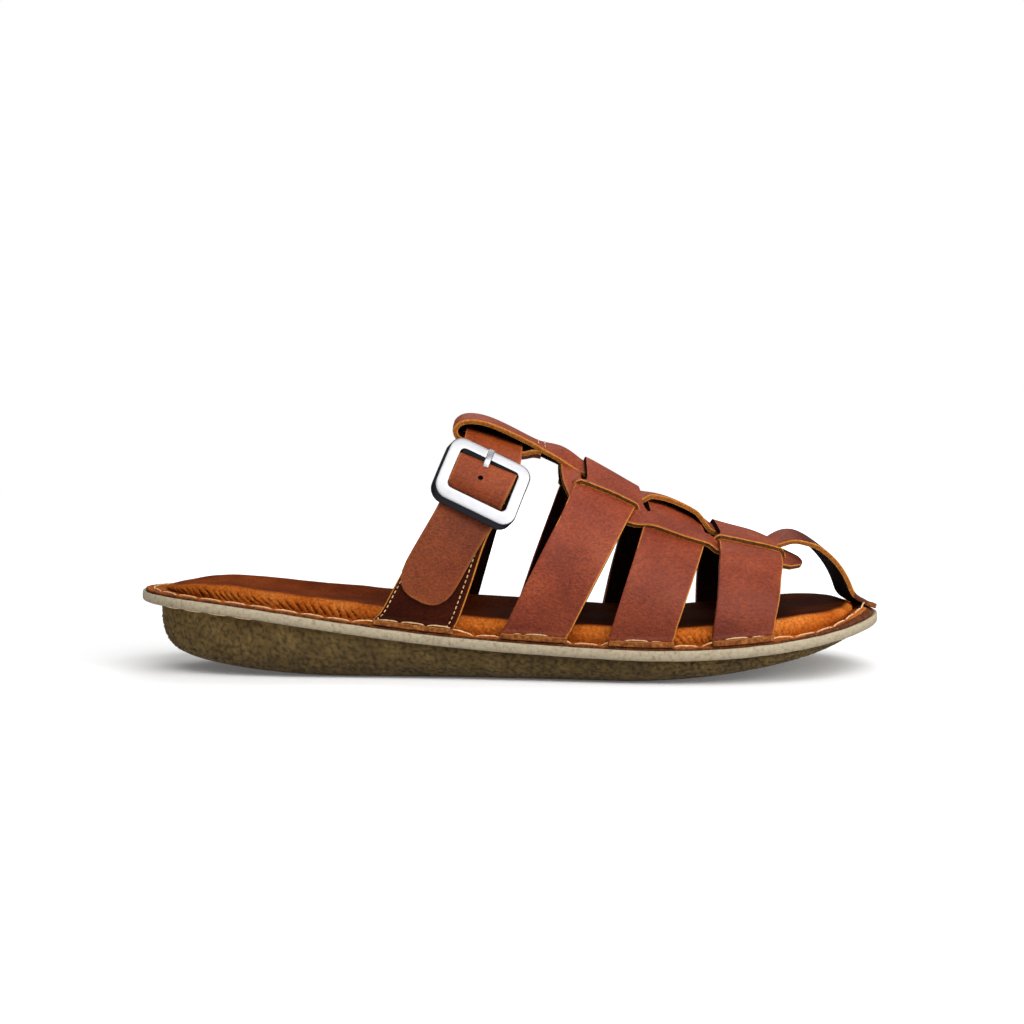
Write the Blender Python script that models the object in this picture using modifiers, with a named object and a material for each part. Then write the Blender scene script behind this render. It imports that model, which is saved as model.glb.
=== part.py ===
"""Right-foot leather slide: a woven vamp and a buckled instep strap on a stitched-down, cupped sole.

+X points to the toe, -Y to the outer (buckle) side and +Z up. The origin is on the floor, under the
middle of the sole. Sizes are in millimetres, and MM turns them into metres when a mesh is made.
"""

import functools
import math

import bmesh
import bpy
import numpy as np
from mathutils import Vector

MM = 0.001
OBJECT_NAME = "woven_leather_slide"
LATERAL = -1
MEDIAL = 1

# Sole
SOLE_LENGTH = 285.0
HALF_LENGTH = SOLE_LENGTH / 2
FIT_GAP = 0.3
MIDSOLE_THICKNESS = 3.9
MIDSOLE_EDGE_ROUND = 0.8
RING_STATIONS = 27
HEEL_FLAT_START = -82.0
TOE_FLAT_END = 74.0
HEEL_RISE = 11.0
TOE_RISE = 12.8
TOE_RISE_LENGTH = 54.0

# Footbed
COVER_THICKNESS = 1.2
COVER_INSET = 0.9
FOOTBED_INSET = 7.4
ARCH_LIFT = 3.2
ARCH_CENTRE = -12.0
ARCH_SPREAD = 52.0
CUP_DEPTH = 1.6

# Upper
LEATHER = 2.2
STRAP_LEATHER = 1.8
WALL_INSET = FOOTBED_INSET - FIT_GAP - 0.1
FLANGE_INSET = 0.7
FLANGE_LIFT = FIT_GAP + COVER_THICKNESS + FIT_GAP
BEND_RADIUS = 3.6
WALL_TOP = 8.0
FORM_RISE = 60.0
FOOT_SHARE = (FLANGE_LIFT - WALL_TOP) / FORM_RISE
WEAVE_STEP = 2.3
SADDLE_REAR = 19.5
SADDLE_FRONT = 108.0
CENTRE_STRAP_WIDTH = 19.0
LEG_WAIST = 1.6
STRAP_SKEW = 5.4
LOOP_DIP = 2.2

# Buckle
BUCKLE_WIDTH = 31.5
BUCKLE_HEIGHT = 27.4
BUCKLE_BAR = 3.9
BUCKLE_THICKNESS = 2.4
BUCKLE_CORNER = 6.5
BUCKLE_BOW = 46.0
BUCKLE_LIFT = 5.2
BUCKLE_GIRTH = 45.0
CENTRE_BAR_RADIUS = 1.0
CENTRE_BAR_LIFT = 5.9
PRONG_RADIUS = 0.95
PRONG_HOLE_RADIUS = 1.45

# Plan of the midsole rim: along the shoe, outer half-width, inner half-width.
RIM_SECTIONS = (
    (-142.5, 0.0, 0.0),
    (-135.5, 20.0, 20.0),
    (-115.0, 32.5, 32.0),
    (-83.0, 36.5, 34.5),
    (-43.0, 38.5, 33.0),
    (0.0, 43.0, 34.5),
    (44.0, 50.3, 43.0),
    (84.0, 50.3, 51.3),
    (115.0, 39.0, 48.5),
    (135.0, 17.5, 34.5),
    (142.5, -7.0, 7.0),
)

# Side view of the midsole's top face: along the shoe, height.
RIM_HEIGHTS = (
    (-142.5, 29.3),
    (-118.0, 27.6),
    (-95.0, 24.8),
    (-75.0, 21.7),
    (-50.0, 18.2),
    (-20.0, 15.0),
    (20.0, 12.7),
    (50.0, 11.8),
    (70.0, 11.9),
    (94.0, 13.5),
    (114.0, 16.1),
    (130.0, 18.9),
    (142.5, 21.3),
)

# How far the outsole stands back from the rim: along the shoe, inset.
OUTSOLE_INSETS = (
    (-142.5, 8.0),
    (-115.0, 5.2),
    (-80.0, 3.4),
    (0.0, 3.0),
    (80.0, 3.6),
    (115.0, 6.0),
    (142.5, 10.5),
)

# Outsole wall from top to tread: share of the height, extra inset.
OUTSOLE_WALL = (
    (1.0, 0.0),
    (0.72, -0.1),
    (0.46, 0.5),
    (0.25, 1.7),
    (0.1, 3.9),
    (0.02, 6.6),
    (0.0, 9.0),
)

# How much further the footbed stands back at its two ends: along the shoe, extra inset.
FOOTBED_END_INSETS = (
    (-142.5, 1.8),
    (-125.0, 0.6),
    (-100.0, 0.0),
    (104.0, 0.0),
    (122.0, 1.0),
    (142.5, 5.0),
)

# Share of the footbed's height, which runs down towards both ends: along the shoe, share.
FOOTBED_TAPER = (
    (-136.0, 0.45),
    (-128.0, 0.7),
    (-116.0, 1.0),
    (112.0, 1.0),
    (126.0, 0.85),
    (134.0, 0.7),
)

# Footbed from its stitched flange to its cupped top: extra inset, lift over the flange, share of arch.
FOOTBED_RINGS = (
    (0.7, 0.0, 0.0),
    (0.0, 1.9, 0.3),
    (0.2, 3.6, 0.6),
    (1.2, 5.0, 0.9),
    (2.9, 5.7, 1.0),
    (6.0, 5.6, 1.0),
    (14.0, 5.6 - CUP_DEPTH, 0.5),
)

# Form that the straps lie on: along the shoe, across and height of its ridge line.
RIDGE_SECTIONS = (
    (-62.0, -2.0, 101.5),
    (-40.0, -1.6, 95.5),
    (-20.0, -1.0, 89.8),
    (10.0, 0.4, 82.0),
    (28.0, 1.8, 76.6),
    (40.0, 2.6, 70.2),
    (54.0, 3.4, 62.2),
    (74.0, 4.3, 53.4),
    (88.0, 4.9, 49.4),
    (100.0, 5.4, 45.6),
    (112.0, 6.2, 40.2),
    (124.0, 7.0, 32.5),
    (134.0, 7.0, 25.5),
)

# How far the saddle stands off the form over the centre strap, in weave steps: along, steps.
SADDLE_MIDDLE = (
    (26.0, 0.2),
    (30.0, 0.85),
    (47.0, 0.85),
    (53.0, 0.15),
    (74.0, 0.15),
    (80.0, 0.85),
    (98.0, 0.85),
    (103.0, 0.2),
)

# The same over the upper ends of the legs.
SADDLE_PANEL = (
    (20.0, 0.2),
    (26.0, 1.0),
    (102.0, 1.0),
    (108.0, 0.2),
)

# The same at the margin, which lies under the second and fourth legs and over the third.
SADDLE_EDGE = (
    (48.0, 0.1),
    (54.0, 1.0),
    (72.0, 1.0),
    (78.0, 0.1),
)

# Girth of the saddle's outer edge, counted from the ridge: along, degrees.
SADDLE_MARGINS = (
    (18.0, 40.0),
    (26.0, 45.0),
    (43.0, 45.0),
    (78.0, 44.0),
    (100.0, 43.0),
    (109.0, 36.0),
)

# Legs woven into the saddle: side, rear and front edge at the sole, rear and front edge at the ridge,
# and whether the leg lies over the saddle's margin or under it.
LEGS = (
    ("leg_second_lateral", LATERAL, -3.0, 21.5, 30.5, 51.5, True),
    ("leg_third_lateral", LATERAL, 36.0, 58.5, 54.0, 75.0, False),
    ("leg_fourth_lateral", LATERAL, 73.0, 94.5, 80.5, 102.0, True),
    ("leg_second_medial", MEDIAL, 0.0, 24.0, 30.5, 51.5, True),
    ("leg_third_medial", MEDIAL, 38.0, 60.5, 54.0, 75.0, False),
    ("leg_fourth_medial", MEDIAL, 75.0, 96.5, 80.5, 102.0, True),
)

# Lift of a leg that goes over the margin and down through its slit: degrees from the wall, lift.
LEG_OVER = (
    (30.0, 0.0),
    (40.0, 0.9),
    (44.0, 1.8),
    (53.0, 1.8),
    (58.0, 1.3),
    (62.0, 0.8),
    (70.0, 0.7),
)

# Lift of a leg that goes up under the margin.
LEG_UNDER = (
    (34.0, 0.0),
    (46.0, 0.2),
    (52.0, 0.7),
)
LEG_GIRTHS = (0, 9, 18, 27, 35, 40, 44, 49, 53, 56, 59, 62, 66)

# Instep strap: share of the height to the ridge, rear edge, front edge.
INSTEP_LATERAL = (
    (0.0, -46.0, -24.5),
    (0.285, -36.9, -14.9),
    (0.5, -29.3, -8.2),
    (0.66, -23.6, -2.7),
    (0.8, -19.5, 1.6),
    (1.0, -17.2, 4.4),
)
INSTEP_MEDIAL = (
    (-0.1, -39.5, -13.5),
    (0.5, -27.0, -3.0),
    (1.0, -17.2, 4.4),
)
QUARTER_EDGES = (
    (-0.1, -50.4, -20.5),
    (0.25, -39.6, -11.0),
    (0.61, -28.2, -1.4),
    (1.0, -15.9, 9.0),
)

# Lift of the instep strap over the loop's return, through the buckle and over the quarter strap:
# distance down from the buckle's middle, lift.
INSTEP_LIFTS = (
    (-24.0, 3.7),
    (-15.0, 2.4),
    (-9.0, 1.9),
    (-7.2, 2.5),
    (-4.2, 5.2),
    (-1.6, 7.3),
    (1.6, 7.3),
    (4.2, 5.3),
    (7.2, 2.8),
    (9.0, 2.15),
)
INSTEP_STOPS = (14, 11, 9, 7.2, 5.7, 4.2, 2.9, 1.6, 0, -1.6, -2.9, -4.2, -5.7, -7.2, -9, -12, -15, -20)

# Lift of its medial half, from the loop's return down to the wall: girth, lift.
INSTEP_MEDIAL_LIFTS = (
    (106.0, 3.7),
    (124.0, 0.0),
)
INSTEP_MEDIAL_GIRTHS = (97, 104, 113, 122, 132, 143, 154, 166, 180)

# Where the loop's return presses the strap's front edge down: girth, share of the dip.
LOOP_SPAN = (
    (60.0, 0.0),
    (72.0, 1.0),
    (106.0, 1.0),
    (120.0, 0.0),
)

# Rounded tip of the instep strap: girth past the tip, share of the strap's width.
TIP_GIRTH = 3.2
TIP_ROUNDING = (
    (0.0, 0.3),
    (0.3, 0.44),
    (0.9, 0.6),
    (1.9, 0.75),
    (3.4, 0.88),
    (5.6, 0.97),
    (8.4, 1.0),
)

# Underside of the centre strap in side view, from the toe back over the vamp: along, height.
CENTRE_STRAP_ROUTE = (
    (131.2, 26.4),
    (129.3, 30.0),
    (126.2, 36.4),
    (120.2, 43.6),
    (113.5, 49.3),
    (107.6, 51.3),
    (102.6, 49.4),
    (98.0, 47.2),
    (90.0, 49.2),
    (83.0, 51.4),
    (79.0, 53.3),
    (76.0, 55.4),
    (70.9, 59.2),
    (65.1, 62.3),
    (59.3, 64.4),
    (53.5, 65.7),
    (49.0, 66.6),
    (45.0, 68.0),
    (38.0, 71.9),
    (31.0, 75.8),
    (27.0, 78.0),
    (23.0, 81.2),
    (18.0, 83.1),
    (11.0, 84.6),
    (7.0, 86.6),
    (3.1, 88.6),
    (-4.7, 92.4),
    (-12.0, 95.5),
    (-15.8, 96.3),
)

# Inner face of the centre strap's loop, round behind the instep strap and back under it: along, height.
LOOP_RETURN = (
    (-18.6, 95.9),
    (-19.7, 94.6),
    (-19.2, 93.2),
    (-17.0, 92.1),
    (-12.0, 90.6),
    (0.0, 86.2),
    (5.0, 84.3),
    (11.0, 83.6),
    (17.5, 82.6),
)


def natural_curve(rows, column):
    """Smooth function through one column of a table, along its first column."""
    knots = np.array([row[0] for row in rows], dtype=float)
    values = np.array([row[column] for row in rows], dtype=float)
    count = len(knots)
    steps = np.diff(knots)
    system = np.eye(count)
    right = np.zeros(count)
    for i in range(1, count - 1):
        system[i, i - 1] = steps[i - 1]
        system[i, i] = 2 * (steps[i - 1] + steps[i])
        system[i, i + 1] = steps[i]
        rise = (values[i + 1] - values[i]) / steps[i]
        rise_before = (values[i] - values[i - 1]) / steps[i - 1]
        right[i] = 6 * (rise - rise_before)
    bends = np.linalg.solve(system, right)

    def curve(at):
        at = np.asarray(at, dtype=float)
        i = np.clip(np.searchsorted(knots, at) - 1, 0, count - 2)
        before = at - knots[i]
        after = knots[i + 1] - at
        step = steps[i]
        cubic = (bends[i] * after ** 3 + bends[i + 1] * before ** 3) / (6 * step)
        low = (values[i] / step - bends[i] * step / 6) * after
        high = (values[i + 1] / step - bends[i + 1] * step / 6) * before
        return cubic + low + high

    return curve


def straight_steps(rows, at):
    """Value of a two-column table, in straight steps between its rows."""
    return np.interp(at, [row[0] for row in rows], [row[1] for row in rows])


def turn_at(along):
    """Angle share, 0 at the heel end and 1 at the toe end, that rounds the two ends of the outline."""
    share = min(max((along + HALF_LENGTH) / SOLE_LENGTH, 0.0), 1.0)
    return math.acos(1 - 2 * share) / math.pi


RIM_BY_TURN = tuple((turn_at(along), -lateral, medial) for along, lateral, medial in RIM_SECTIONS)
rim_lateral = natural_curve(RIM_BY_TURN, 1)
rim_medial = natural_curve(RIM_BY_TURN, 2)
rim_height = natural_curve(RIM_HEIGHTS, 1)
outsole_inset = natural_curve(OUTSOLE_INSETS, 1)
ridge_across = natural_curve(RIDGE_SECTIONS, 1)
ridge_height = natural_curve(RIDGE_SECTIONS, 2)


def rim_points(turns):
    """Rim outline: turns 0 to 1 run from heel to toe on the lateral side, 1 to 2 back on the other."""
    turns = np.mod(turns, 2.0)
    shares = np.where(turns <= 1.0, turns, 2.0 - turns)
    along = -HALF_LENGTH * np.cos(np.pi * shares)
    across = np.where(turns <= 1.0, rim_lateral(shares), rim_medial(shares))
    return np.stack([along, across], axis=-1)


def inset_outline(inset, stations=RING_STATIONS):
    """Closed outline moved in from the rim, by one distance or by a function of the place along."""
    turns = np.arange(2 * (stations - 1)) / (stations - 1)
    points = rim_points(turns)
    ahead = rim_points(turns + 0.004)
    behind = rim_points(turns - 0.004)
    tangent = ahead - behind
    tangent /= np.linalg.norm(tangent, axis=1, keepdims=True)
    inward = np.stack([-tangent[:, 1], tangent[:, 0]], axis=-1)
    distance = inset(points[:, 0]) if callable(inset) else np.full(len(points), inset)
    return points + inward * distance[:, None]


@functools.lru_cache(maxsize=None)
def inset_side(inset, side):
    """One side of an inset outline as sorted along and across values."""
    stations = 201
    outline = inset_outline(inset, stations)
    if side == LATERAL:
        points = outline[:stations]
    else:
        points = np.concatenate([outline[stations - 1:], outline[:1]])[::-1]
    order = np.argsort(points[:, 0])
    return points[order, 0], points[order, 1]


def side_across(inset, side, along):
    """How far across the inset outline lies at a place along the shoe."""
    places, across = inset_side(round(inset, 3), side)
    return float(np.interp(along, places, across))


def tread_height(along):
    """Underside of the outsole: flat, with a rounded heel and a toe spring."""
    heel = np.clip((HEEL_FLAT_START - along) / (HALF_LENGTH + HEEL_FLAT_START), 0.0, None)
    toe = np.clip((along - TOE_FLAT_END) / TOE_RISE_LENGTH, 0.0, None)
    return HEEL_RISE * heel ** 2 + TOE_RISE * toe ** 2


def make_object(name, bm, material=None, cutter=False):
    """Mesh object in metres, put in the part's collection or with the helpers."""
    mesh = bpy.data.meshes.new(name)
    bm.to_mesh(mesh)
    bm.free()
    item = bpy.data.objects.new(name, mesh)
    if cutter:
        helpers.objects.link(item)
        item.hide_render = True
        item.display_type = "WIRE"
    else:
        part.objects.link(item)
        item.data.materials.append(material)
    return item


def make_material(name, colour, roughness, metallic=0.0):
    """Principled material for one sub-part."""
    material = bpy.data.materials.new(name)
    material.use_nodes = True
    shader = material.node_tree.nodes["Principled BSDF"]
    shader.inputs["Base Color"].default_value = (*colour, 1.0)
    shader.inputs["Roughness"].default_value = roughness
    shader.inputs["Metallic"].default_value = metallic
    material.diffuse_color = (*colour, 1.0)
    return material


def loft_rings(name, rings, material):
    """Closed solid through rings of points, capped at both ends by rungs across the shoe."""
    bm = bmesh.new()
    loops = []
    for ring in rings:
        loops.append([bm.verts.new(Vector(point) * MM) for point in ring])
    count = len(loops[0])
    for low, high in zip(loops, loops[1:]):
        for i in range(count):
            j = (i + 1) % count
            bm.faces.new((low[i], low[j], high[j], high[i]))
    for loop in (loops[0], loops[-1]):
        half = count // 2
        bm.faces.new((loop[0], loop[1], loop[-1]))
        bm.faces.new((loop[half], loop[half - 1], loop[half + 1]))
        for i in range(1, half - 1):
            bm.faces.new((loop[i], loop[i + 1], loop[-i - 1], loop[-i]))
    bmesh.ops.recalc_face_normals(bm, faces=bm.faces)
    return make_object(name, bm, material)


def build_outsole(material):
    """Rubber cup: rounded wall, flat tread, rounded heel and toe spring."""
    rings = []
    for share, extra in OUTSOLE_WALL:
        outline = inset_outline(lambda along, extra=extra: outsole_inset(along) + extra)
        top = rim_height(outline[:, 0]) - MIDSOLE_THICKNESS - FIT_GAP
        bottom = tread_height(outline[:, 0])
        height = bottom + (top - bottom) * share
        rings.append(np.column_stack([outline, height]))
    return loft_rings("outsole", rings, material)


def build_midsole(material):
    """Flat, curved rim board with slightly rounded edges."""
    rings = []
    rows = (
        (MIDSOLE_EDGE_ROUND, -MIDSOLE_THICKNESS),
        (0.0, -MIDSOLE_THICKNESS + MIDSOLE_EDGE_ROUND),
        (0.0, -MIDSOLE_EDGE_ROUND),
        (MIDSOLE_EDGE_ROUND, 0.0),
    )
    for inset, lift in rows:
        outline = inset_outline(inset)
        rings.append(np.column_stack([outline, rim_height(outline[:, 0]) + lift]))
    return loft_rings("midsole", rings, material)


def arch_lift(along, across):
    """Raised inner edge of the footbed at the arch."""
    bump = np.exp(-((along - ARCH_CENTRE) / ARCH_SPREAD) ** 2)
    inner = np.clip(0.35 + across / 40.0, 0.0, 1.0)
    return ARCH_LIFT * bump * inner


def footbed_inset(along):
    """How far the footbed's widest line stands back from the rim."""
    return FOOTBED_INSET + straight_steps(FOOTBED_END_INSETS, along)


def build_footbed(material):
    """Padded footbed whose leather cover turns out as a flange on the rim."""
    rings = []
    for inset, lift in ((COVER_INSET, FIT_GAP), (COVER_INSET, FIT_GAP + COVER_THICKNESS)):
        outline = inset_outline(inset)
        rings.append(np.column_stack([outline, rim_height(outline[:, 0]) + lift]))
    for extra, lift, arch in FOOTBED_RINGS:
        outline = inset_outline(lambda along, extra=extra: footbed_inset(along) + extra)
        height = rim_height(outline[:, 0]) + FIT_GAP + COVER_THICKNESS
        height = height + lift * straight_steps(FOOTBED_TAPER, outline[:, 0])
        height = height + arch * arch_lift(outline[:, 0], outline[:, 1])
        rings.append(np.column_stack([outline, height]))
    return loft_rings("footbed", rings, material)


def skirt_place(distance):
    """Inset and lift of the strap's inner face, a distance down the wall and out over the rim."""
    straight = WALL_TOP - FLANGE_LIFT - BEND_RADIUS
    arc = BEND_RADIUS * math.pi / 2
    if distance <= straight:
        return WALL_INSET, WALL_TOP - distance
    if distance <= straight + arc:
        angle = (distance - straight) / BEND_RADIUS
        inset = WALL_INSET - BEND_RADIUS * (1 - math.cos(angle))
        lift = FLANGE_LIFT + BEND_RADIUS * (1 - math.sin(angle))
        return inset, lift
    return WALL_INSET - BEND_RADIUS - (distance - straight - arc), FLANGE_LIFT


SKIRT_LENGTH = (WALL_TOP - FLANGE_LIFT - BEND_RADIUS) + BEND_RADIUS * math.pi / 2
SKIRT_LENGTH += WALL_INSET - BEND_RADIUS - FLANGE_INSET


def form_point(along, girth):
    """Point on the form under the straps.

    Girth runs from 0 degrees at the lateral wall over the ridge at 90 to the medial wall at 180. Below 0
    and above 180 it counts millimetres down the wall and out over the rim.
    """
    side = LATERAL if girth < 90 else MEDIAL
    below = -girth if girth < 0 else girth - 180
    if below > 0:
        inset, lift = skirt_place(below)
        return Vector((along, side_across(inset, side, along), float(rim_height(along)) + lift))
    base = float(rim_height(along)) + WALL_TOP
    middle = float(ridge_across(along))
    reach = side_across(WALL_INSET, side, along) - middle
    rise = float(ridge_height(along)) - base
    angle = math.radians(girth)
    return Vector((along, middle + reach * abs(math.cos(angle)), base + rise * math.sin(angle)))


def crown_drop(along, across):
    """How far the form falls from its ridge, a distance across from it."""
    side = LATERAL if across < 0 else MEDIAL
    reach = side_across(WALL_INSET, side, along) - float(ridge_across(along))
    rise = float(ridge_height(along)) - float(rim_height(along)) - WALL_TOP
    return rise * (1 - math.sqrt(1 - (across / reach) ** 2))


def form_normal(along, girth):
    """Outward direction of the form."""
    forward = form_point(along + 0.4, girth) - form_point(along - 0.4, girth)
    around = form_point(along, girth + 0.4) - form_point(along, girth - 0.4)
    return forward.cross(around).normalized()


def raised_point(along, girth, lift):
    """Point on the form, raised along its outward direction."""
    return form_point(along, girth) + form_normal(along, girth) * lift


def sheet_object(name, across_stops, length_stops, place, thickness, material=None, cutter=True):
    """Grid laid by a place function, thickened on its outer side."""
    bm = bmesh.new()
    columns = len(across_stops) - 1
    rows = len(length_stops) - 1
    bmesh.ops.create_grid(bm, x_segments=columns, y_segments=rows, size=1.0)
    for vert in bm.verts:
        column = round((vert.co.x + 1) / 2 * columns)
        row = round((vert.co.y + 1) / 2 * rows)
        vert.co = place(across_stops[column], length_stops[row]) * MM
    item = make_object(name, bm, material, cutter)
    wall = item.modifiers.new("wall", "SOLIDIFY")
    wall.thickness = thickness * MM
    wall.offset = 1.0
    wall.use_even_offset = True
    return item


def skirt_stops():
    """Distances down the skirt at which a strap gets a row of points, from the rim up."""
    straight = WALL_TOP - FLANGE_LIFT - BEND_RADIUS
    arc = BEND_RADIUS * math.pi / 2
    stops = [SKIRT_LENGTH, straight + arc]
    stops += [straight + arc * share for share in (0.75, 0.5, 0.25)]
    stops += [straight]
    return stops


def height_share(girth):
    """Share of the height to the ridge: 0 at the wall's top, 1 on the ridge, below 0 on the skirt."""
    below = -girth if girth < 90 else girth - 180
    if below > 0:
        return (skirt_place(below)[1] - WALL_TOP) / FORM_RISE
    return math.sin(math.radians(girth))


def saddle_lift(along, girth):
    """How far the saddle stands off the form, over the straps that are woven under it."""
    from_ridge = abs(girth - 90)
    middle = straight_steps(SADDLE_MIDDLE, along)
    panel = straight_steps(SADDLE_PANEL, along)
    edge = straight_steps(SADDLE_EDGE, along)
    steps = straight_steps(((12, middle), (19, panel), (33, panel), (38, edge)), from_ridge)
    return WEAVE_STEP * float(steps)


def saddle_place(spread, share):
    """Point of the saddle: spread -1 to 1 from lateral to medial, share 0 to 1 from rear to front."""
    corner = abs(spread) ** 5
    rear = SADDLE_REAR + 5.0 * corner
    front = SADDLE_FRONT - 5.0 * corner - 2.0 * (1 - abs(spread))
    along = rear + (front - rear) * share
    girth = 90 + spread * float(straight_steps(SADDLE_MARGINS, along))
    return raised_point(along, girth, saddle_lift(along, girth))


def build_saddle(material):
    """Leather saddle over the forefoot, which the straps are woven through."""
    spreads = [-1, -0.93, -0.84, -0.74, -0.58, -0.42, -0.27, -0.13]
    spreads = spreads + [0] + [-spread for spread in reversed(spreads)]
    shares = [i / 28 for i in range(29)]
    return sheet_object(
        "upper", shares, spreads, lambda share, spread: saddle_place(spread, share),
        LEATHER, material, cutter=False,
    )


def leg_lift(girth, side, over):
    """Lift of a leg: over the saddle's margin and down through its slit, or up under the margin."""
    from_wall = girth if side == LATERAL else 180 - girth
    return float(straight_steps(LEG_OVER if over else LEG_UNDER, from_wall))


def build_leg(name, side, foot_rear, foot_front, ridge_rear, ridge_front, over):
    """Strap from its flange on the rim up into the saddle."""
    stops = [-stop for stop in skirt_stops()]
    stops += LEG_GIRTHS
    if side == MEDIAL:
        stops = [180 - stop for stop in reversed(stops)]

    def place(share, girth):
        climb = (height_share(girth) - FOOT_SHARE) / (1 - FOOT_SHARE)
        rear = foot_rear + (ridge_rear - foot_rear) * climb
        front = foot_front + (ridge_front - foot_front) * climb - LEG_WAIST * math.sin(math.pi * climb)
        along = rear + (front - rear) * share
        return raised_point(along, girth, leg_lift(girth, side, over))

    return sheet_object(name, (0, 0.33, 0.67, 1), stops, place, LEATHER)


def centre_route():
    """Underside of the centre strap from its toe flange to the end of its loop."""
    toe_lift = float(rim_height(HALF_LENGTH - 6)) + FLANGE_LIFT
    route = [
        (HALF_LENGTH - 1.6, float(rim_height(HALF_LENGTH - 1.6)) + FLANGE_LIFT),
        (HALF_LENGTH - 6.5, toe_lift),
        (HALF_LENGTH - 8.6, toe_lift + 0.6),
        (HALF_LENGTH - 10.2, toe_lift + 2.2),
    ]
    route += CENTRE_STRAP_ROUTE
    return [Vector((x, 0, z)) for x, z in (*route, *LOOP_RETURN)]


def route_samples(points, spacing):
    """Evenly curved route through the points, sampled more closely where it bends."""
    lengths = [0.0]
    for a, b in zip(points, points[1:]):
        lengths.append(lengths[-1] + (b - a).length)
    along = natural_curve([(s, p.x, p.z) for s, p in zip(lengths, points)], 1)
    height = natural_curve([(s, p.x, p.z) for s, p in zip(lengths, points)], 2)
    samples = [0.0]
    for start, end in zip(lengths, lengths[1:]):
        parts = max(1, round((end - start) / spacing))
        samples += [start + (end - start) * (i + 1) / parts for i in range(parts)]
    return [Vector((float(along(s)), 0, float(height(s)))) for s in samples]


def build_centre_strap():
    """Strap from the toe, woven through the saddle, to a loop round the instep strap."""
    route = route_samples(centre_route(), 4.2)
    widths = (-0.5, -0.17, 0.17, 0.5)

    def place(width, step):
        point = route[step]
        across = width * CENTRE_STRAP_WIDTH
        middle = float(ridge_across(min(max(point.x, -60), 130)))
        flatter = float(np.interp(point.x, (96, 131), (1.0, 0.0)))
        drop = crown_drop(min(point.x, 112), across) * flatter
        back = 0.02 * max(point.x - 118, 0) * max(across + 4, 0) * 0.55
        return Vector((point.x - back, middle + across, point.z - drop))

    return sheet_object("centre_strap", widths, range(len(route)), place, LEATHER)


instep_edges = {
    LATERAL: (natural_curve(INSTEP_LATERAL, 1), natural_curve(INSTEP_LATERAL, 2)),
    MEDIAL: (natural_curve(INSTEP_MEDIAL, 1), natural_curve(INSTEP_MEDIAL, 2)),
}
quarter_edges = (natural_curve(QUARTER_EDGES, 1), natural_curve(QUARTER_EDGES, 2))


def instep_along(share, girth):
    """Place along the shoe across the instep strap's width."""
    rear, front = instep_edges[LATERAL if girth < 90 else MEDIAL]
    height = height_share(girth)
    return float(rear(height) + (front(height) - rear(height)) * share)


def buckle_distance(girth):
    """Millimetres along the instep strap from the buckle's middle, counted downwards."""
    steps = np.linspace(BUCKLE_GIRTH, girth, 12)
    points = [form_point(instep_along(0.5, step), step) for step in steps]
    length = sum((b - a).length for a, b in zip(points, points[1:]))
    return length if girth < BUCKLE_GIRTH else -length


def instep_lift(share, girth):
    """Lift of the instep strap: over the loop's return, through the buckle and over the quarter strap."""
    dip = LOOP_DIP * share * float(straight_steps(LOOP_SPAN, girth))
    if girth > 90:
        return float(straight_steps(INSTEP_MEDIAL_LIFTS, girth)) - dip
    return float(straight_steps(INSTEP_LIFTS, buckle_distance(girth))) - dip


def girth_at(down):
    """Girth at a distance down the instep strap from the buckle's middle."""
    girths = np.linspace(88, 2, 80)
    distances = [buckle_distance(girth) for girth in girths]
    return float(np.interp(down, distances, girths))


def build_instep_strap(material):
    """Strap from the medial rim over the instep, through the loop and the buckle, to its rounded tip."""
    stops = [TIP_GIRTH + past for past, width in TIP_ROUNDING] + [17, 23]
    stops += [girth_at(down) for down in INSTEP_STOPS]
    last = stops[-1]
    stops += [last + (90 - last) * share for share in (0.33, 0.66)] + [90]
    stops += INSTEP_MEDIAL_GIRTHS
    stops += [180 + stop for stop in reversed(skirt_stops())]

    def place(share, girth):
        narrowed = 0.5 + (share - 0.5) * float(straight_steps(TIP_ROUNDING, girth - TIP_GIRTH))
        square = STRAP_SKEW * (0.5 - narrowed) * float(np.interp(girth, (64, 86), (1.0, 0.0)))
        along = instep_along(narrowed, girth + square)
        return raised_point(along, girth + square, instep_lift(share, girth))

    return sheet_object(
        "instep_strap", (0, 0.33, 0.67, 1), stops, place, STRAP_LEATHER, material, cutter=False,
    )


def build_quarter_strap(material):
    """Lateral strap from its flange on the rim up to the buckle's centre bar."""
    stops = [-stop for stop in skirt_stops()] + [0, 6, 12, 18, 24, 30, 36]
    stops += [girth_at(-2.0)]

    def place(share, girth):
        height = height_share(girth)
        rear = float(quarter_edges[0](height))
        front = float(quarter_edges[1](height))
        return raised_point(rear + (front - rear) * share, girth, 0.0)

    return sheet_object(
        "quarter_strap", (0, 0.33, 0.67, 1), stops, place, STRAP_LEATHER, material, cutter=False,
    )


def buckle_axes():
    """Middle of the buckle on the form, and its across, down and outward directions."""
    middle = form_point(instep_along(0.5, BUCKLE_GIRTH), BUCKLE_GIRTH)
    above = BUCKLE_GIRTH + 6
    below = BUCKLE_GIRTH - 6
    down = form_point(instep_along(0.5, below), below) - form_point(instep_along(0.5, above), above)
    down.normalize()
    outward = form_normal(instep_along(0.5, BUCKLE_GIRTH), BUCKLE_GIRTH)
    across = outward.cross(down).normalized()
    if across.x < 0:
        across = -across
    outward = (outward - down * outward.dot(down)).normalized()
    return middle, across, down, outward


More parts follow.
